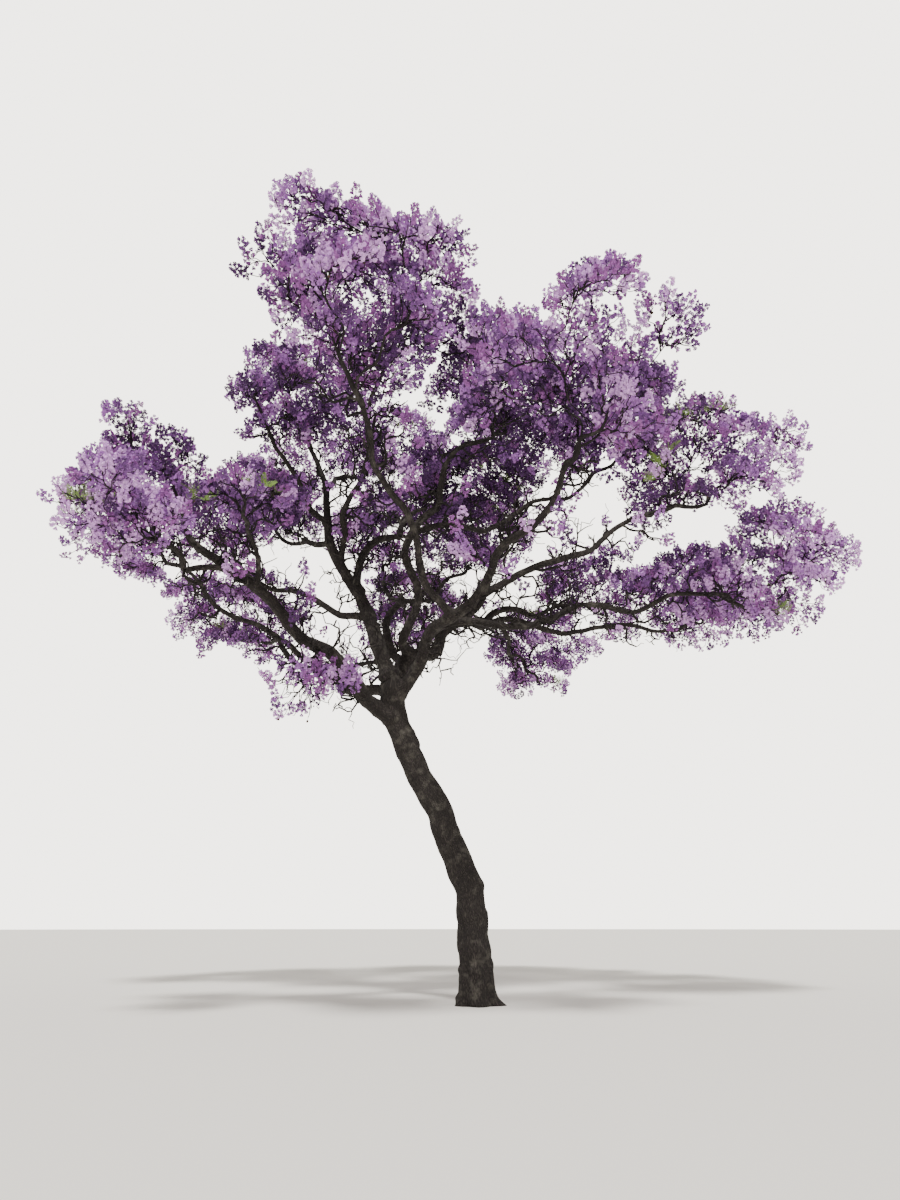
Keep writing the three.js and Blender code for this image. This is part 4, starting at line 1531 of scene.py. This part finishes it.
class JACARANDA_OT_boughs(bpy.types.Operator):
    """Sweep and carve every bough, the main ones and the side ones each as one piece"""

    bl_idname = "jacaranda.boughs"
    bl_label = "Boughs"

    def execute(self, context):
        boughs = [shape for shape in grow_limbs().values() if shape.carrier]
        main = [shape for shape in boughs if shape.name in MAIN_BOUGHS]
        side = [shape for shape in boughs if shape.name not in MAIN_BOUGHS]
        for name, shapes in (("main_boughs_bark", main), ("side_boughs_bark", side)):
            limbs = [make_limb(shape, 1 + boughs.index(shape)) for shape in shapes]
            nodes = [shape.name for shape in shapes]
            finish_piece(join_limbs(limbs), name, limb_material(), nodes)
        return {"FINISHED"}


class JACARANDA_OT_twigs(bpy.types.Operator):
    """Grow the twigs of every mass: the main ones, the fine ones in two pieces, and those on the boughs"""

    bl_idname = "jacaranda.twigs"
    bl_label = "Twigs"

    def execute(self, context):
        material = bark_material("Twig bark", tree_settings().twig_bark, None, *TWIG_BARK)
        crown = grow_crown()
        axes, lengths, _, bare = dress_tips()
        ends = np.array([twig.girths for twig in crown["mains"]])
        girths = MAIN_FULLER * (ends[:, :1] + (ends[:, 1:] - ends[:, :1]) * np.linspace(0, 1, MAIN_POINTS))
        places, faces = tubes(crown["courses"], girths, MAIN_SIDES)
        mesh_piece("main_twigs", places, faces, material, mass_nodes())
        rng = np.random.default_rng(CROWN_SEED + 1)
        arrive = unit(axes + unit(crown["tips"] - crown["starts"]))
        fine = wander(crown["starts"], crown["ways"], crown["tips"], arrive, FINE_SWAY, FINE_POINTS, rng)
        girths = girths_of_fine(crown["loads"])
        stems = lengths * np.where(bare, RACHIS_BARE, RACHIS_FULL)
        rachis = crown["tips"] + axes * stems[:, None]
        fine = np.concatenate((fine, rachis[:, None]), axis=1)
        girths = np.concatenate((girths, girths[:, -1:] * RACHIS_SHARE), axis=1)
        half = crown["masses"] < np.median(crown["masses"])
        for name, chosen in (("fine_twigs_left", half), ("fine_twigs_right", ~half)):
            places, faces = tubes(fine[chosen], girths[chosen], FINE_SIDES)
            mesh_piece(name, places, faces, material, mass_nodes())
        places, faces = join_arrays([*side_twigs()[0], stubs()])
        mesh_piece("side_twigs", places, faces, material, [])
        return {"FINISHED"}


class JACARANDA_OT_blossom(bpy.types.Operator):
    """Set a panicle of flowers on every tip in bloom, one piece for each tone"""

    bl_idname = "jacaranda.blossom"
    bl_label = "Blossom"

    def execute(self, context):
        crown = grow_crown()
        axes, lengths, leafy, bare = dress_tips()
        tones = tones_with_painted_light()
        rng = np.random.default_rng(FLOWER_SEED)
        _, side_tips, side_ways = side_twigs()
        side_tones = rng.integers(0, len(BLOSSOM_NAMES), len(side_tips))
        side_axes = unit(side_ways + PANICLE_UP * UP)
        side_lengths = rng.uniform(*PANICLE_LENGTHS, len(side_tips))
        # Each tone piece carries painted shade or painted light by where its crown tips lie; the tips on the
        # short twigs get their tones at random
        for i, tone in enumerate(BLOSSOM_NAMES):
            held = (tones == i) & ~leafy & ~bare
            beside = side_tones == i
            places, faces = flowers_at(
                np.vstack((crown["tips"][held], side_tips[beside])),
                np.vstack((axes[held], side_axes[beside])),
                np.concatenate((lengths[held], side_lengths[beside])),
                rng,
            )
            name = "blossom_" + tone
            base = getattr(tree_settings(), name)
            material = living_material("Blossom " + tone, base, *BLOSSOM_LOOK)
            mesh_piece(name, places, faces, material, mass_nodes())
        return {"FINISHED"}


class JACARANDA_OT_leaves(bpy.types.Operator):
    """Set tufts of young fern-like leaves on the leafy tips"""

    bl_idname = "jacaranda.leaves"
    bl_label = "Leaves"

    def execute(self, context):
        crown = grow_crown()
        axes, _, leafy, _ = dress_tips()
        rng = np.random.default_rng(LEAF_SEED)
        bases = np.repeat(crown["tips"][leafy], FRONDS, axis=0)
        along = np.repeat(axes[leafy], FRONDS, axis=0)
        around = np.tile(np.arange(FRONDS) * 2 * math.pi / FRONDS, int(leafy.sum()))
        around += rng.normal(size=len(around)) * FROND_LOOSE
        outward = np.stack((np.cos(around), np.sin(around), np.zeros(len(around))), axis=1)
        ways = unit(along + outward * FROND_OUT * rng.uniform(*FROND_OUTS, (len(around), 1)))
        spins = rng.uniform(0, 2 * math.pi, len(around))
        sizes = rng.uniform(*FROND_LENGTHS, len(around))
        places, faces = placed_copies(frond_shape(), bases, ways, spins, sizes)
        material = living_material("Young leaf", tree_settings().leaf, *LEAF_LOOK)
        mesh_piece("leaf_tufts", places, [faces], material, [])
        return {"FINISHED"}


class JACARANDA_OT_pods(bpy.types.Operator):
    """Hang old seed pods from some of the fine twigs"""

    bl_idname = "jacaranda.pods"
    bl_label = "Seed pods"

    def execute(self, context):
        crown = grow_crown()
        rng = np.random.default_rng(POD_SEED)
        chosen = rng.random(len(crown["tips"])) < POD_SHARE
        tops = crown["tips"][chosen]
        down = unit(-UP + rng.normal(size=tops.shape) * POD_LOOSE)
        ends = tops + down * POD_STALK
        spins = rng.uniform(0, 2 * math.pi, len(tops))
        places, faces = placed_copies(pod_shape(), ends, down, spins, rng.uniform(*POD_LENGTHS, len(tops)))
        courses = np.stack((tops, ends + down * POD_SINK), axis=1)
        stalks = tubes(courses, np.full((len(tops), 2), POD_STALK_GIRTH), POD_STALK_SIDES)
        places, faces = join_arrays([(places, [faces]), stalks])
        material = living_material("Old pod", tree_settings().pod, *POD_LOOK)
        mesh_piece("seed_pods", places, faces, material, [])
        return {"FINISHED"}


def set_surround(scene, stage):
    """A plain pale surround, brighter to look at than the light that it gives."""
    world = bpy.data.worlds.new("Surround")
    scene.world = world
    world.use_nodes = True
    tree = world.node_tree
    tone = (*stage.sky_tone, 1)
    given = tree.nodes["Background"]
    given.inputs["Color"].default_value = tone
    given.inputs["Strength"].default_value = stage.sky_strength
    seen = node(tree, "ShaderNodeBackground", {"Color": tone, "Strength": stage.sky_seen})
    looking = node(tree, "ShaderNodeLightPath").outputs["Is Camera Ray"]
    mixed = node(tree, "ShaderNodeMixShader", {0: looking, 1: given.outputs[0], 2: seen.outputs[0]})
    tree.links.new(mixed.outputs[0], tree.nodes["World Output"].inputs["Surface"])


class JACARANDA_OT_stage(bpy.types.Operator):
    """Set up the plain floor, the soft light and the camera where the viewer stands"""

    bl_idname = "jacaranda.stage"
    bl_label = "Stage"

    def execute(self, context):
        stage = context.scene.jacaranda_stage
        bpy.ops.object.select_all(action="DESELECT")
        bpy.ops.mesh.primitive_circle_add(
            vertices=FLOOR_SIDES, radius=FLOOR_RADIUS, fill_type="NGON", location=(0, 0, -FLOOR_DROP)
        )
        floor = bpy.context.object
        floor.name = "floor"
        material, _, shader = new_material("Floor")
        shader.inputs["Base Color"].default_value = (*stage.floor_tone, 1)
        shader.inputs["Roughness"].default_value = FLOOR_DULL
        shader.inputs["Specular IOR Level"].default_value = FLOOR_SHINE
        floor.data.materials.append(material)
        set_surround(context.scene, stage)
        bpy.ops.object.light_add(type="SUN", location=LAMP_PLACE)
        lamp = bpy.context.object
        lamp.name = "soft_lamp"
        lamp.data.energy = stage.lamp_strength
        lamp.data.angle = LAMP_SOFTNESS
        lamp.data.color = LAMP_COLOUR
        lamp.rotation_mode = "QUATERNION"
        lamp.rotation_quaternion = Vector(LAMP_WAY).to_track_quat("-Z", "Y")
        bpy.ops.object.camera_add(location=stage.eye)
        camera = bpy.context.object
        camera.name = "camera"
        camera.rotation_euler = (math.pi / 2 + stage.look_up, 0, -stage.look_right)
        camera.data.sensor_width = SENSOR
        half_width = math.tan(stage.view_width / 2)
        camera.data.lens = SENSOR / 2 / (half_width * IMAGE_SIZE[1] / IMAGE_SIZE[0])
        camera.data.clip_end = FARTHEST
        context.scene.camera = camera
        return {"FINISHED"}


class JACARANDA_PT_panel(bpy.types.Panel):
    """The tree's pieces and settings"""

    bl_label = "Jacaranda"
    bl_idname = "JACARANDA_PT_panel"
    bl_space_type = "VIEW_3D"
    bl_region_type = "UI"
    bl_category = "Jacaranda"

    def draw(self, context):
        for operator in OPERATORS:
            self.layout.operator(operator.bl_idname)
        for settings in (context.scene.jacaranda_tree, context.scene.jacaranda_stage):
            box = self.layout.box()
            for name in settings.__annotations__:
                box.prop(settings, name)


OPERATORS = (
    JACARANDA_OT_trunk,
    JACARANDA_OT_boughs,
    JACARANDA_OT_twigs,
    JACARANDA_OT_blossom,
    JACARANDA_OT_leaves,
    JACARANDA_OT_pods,
    JACARANDA_OT_stage,
)
CLASSES = (JacarandaTree, JacarandaStage, *OPERATORS, JACARANDA_PT_panel)


def register():
    for cls in CLASSES:
        bpy.utils.register_class(cls)
    bpy.types.Scene.jacaranda_tree = bpy.props.PointerProperty(type=JacarandaTree)
    bpy.types.Scene.jacaranda_stage = bpy.props.PointerProperty(type=JacarandaStage)


def unregister():
    del bpy.types.Scene.jacaranda_stage
    del bpy.types.Scene.jacaranda_tree
    for cls in reversed(CLASSES):
        bpy.utils.unregister_class(cls)


def main():
    register()
    bpy.ops.jacaranda.trunk()
    bpy.ops.jacaranda.boughs()
    bpy.ops.jacaranda.twigs()
    bpy.ops.jacaranda.blossom()
    bpy.ops.jacaranda.leaves()
    bpy.ops.jacaranda.pods()
    bpy.ops.jacaranda.stage()
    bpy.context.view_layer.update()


if __name__ == "__main__":
    main()
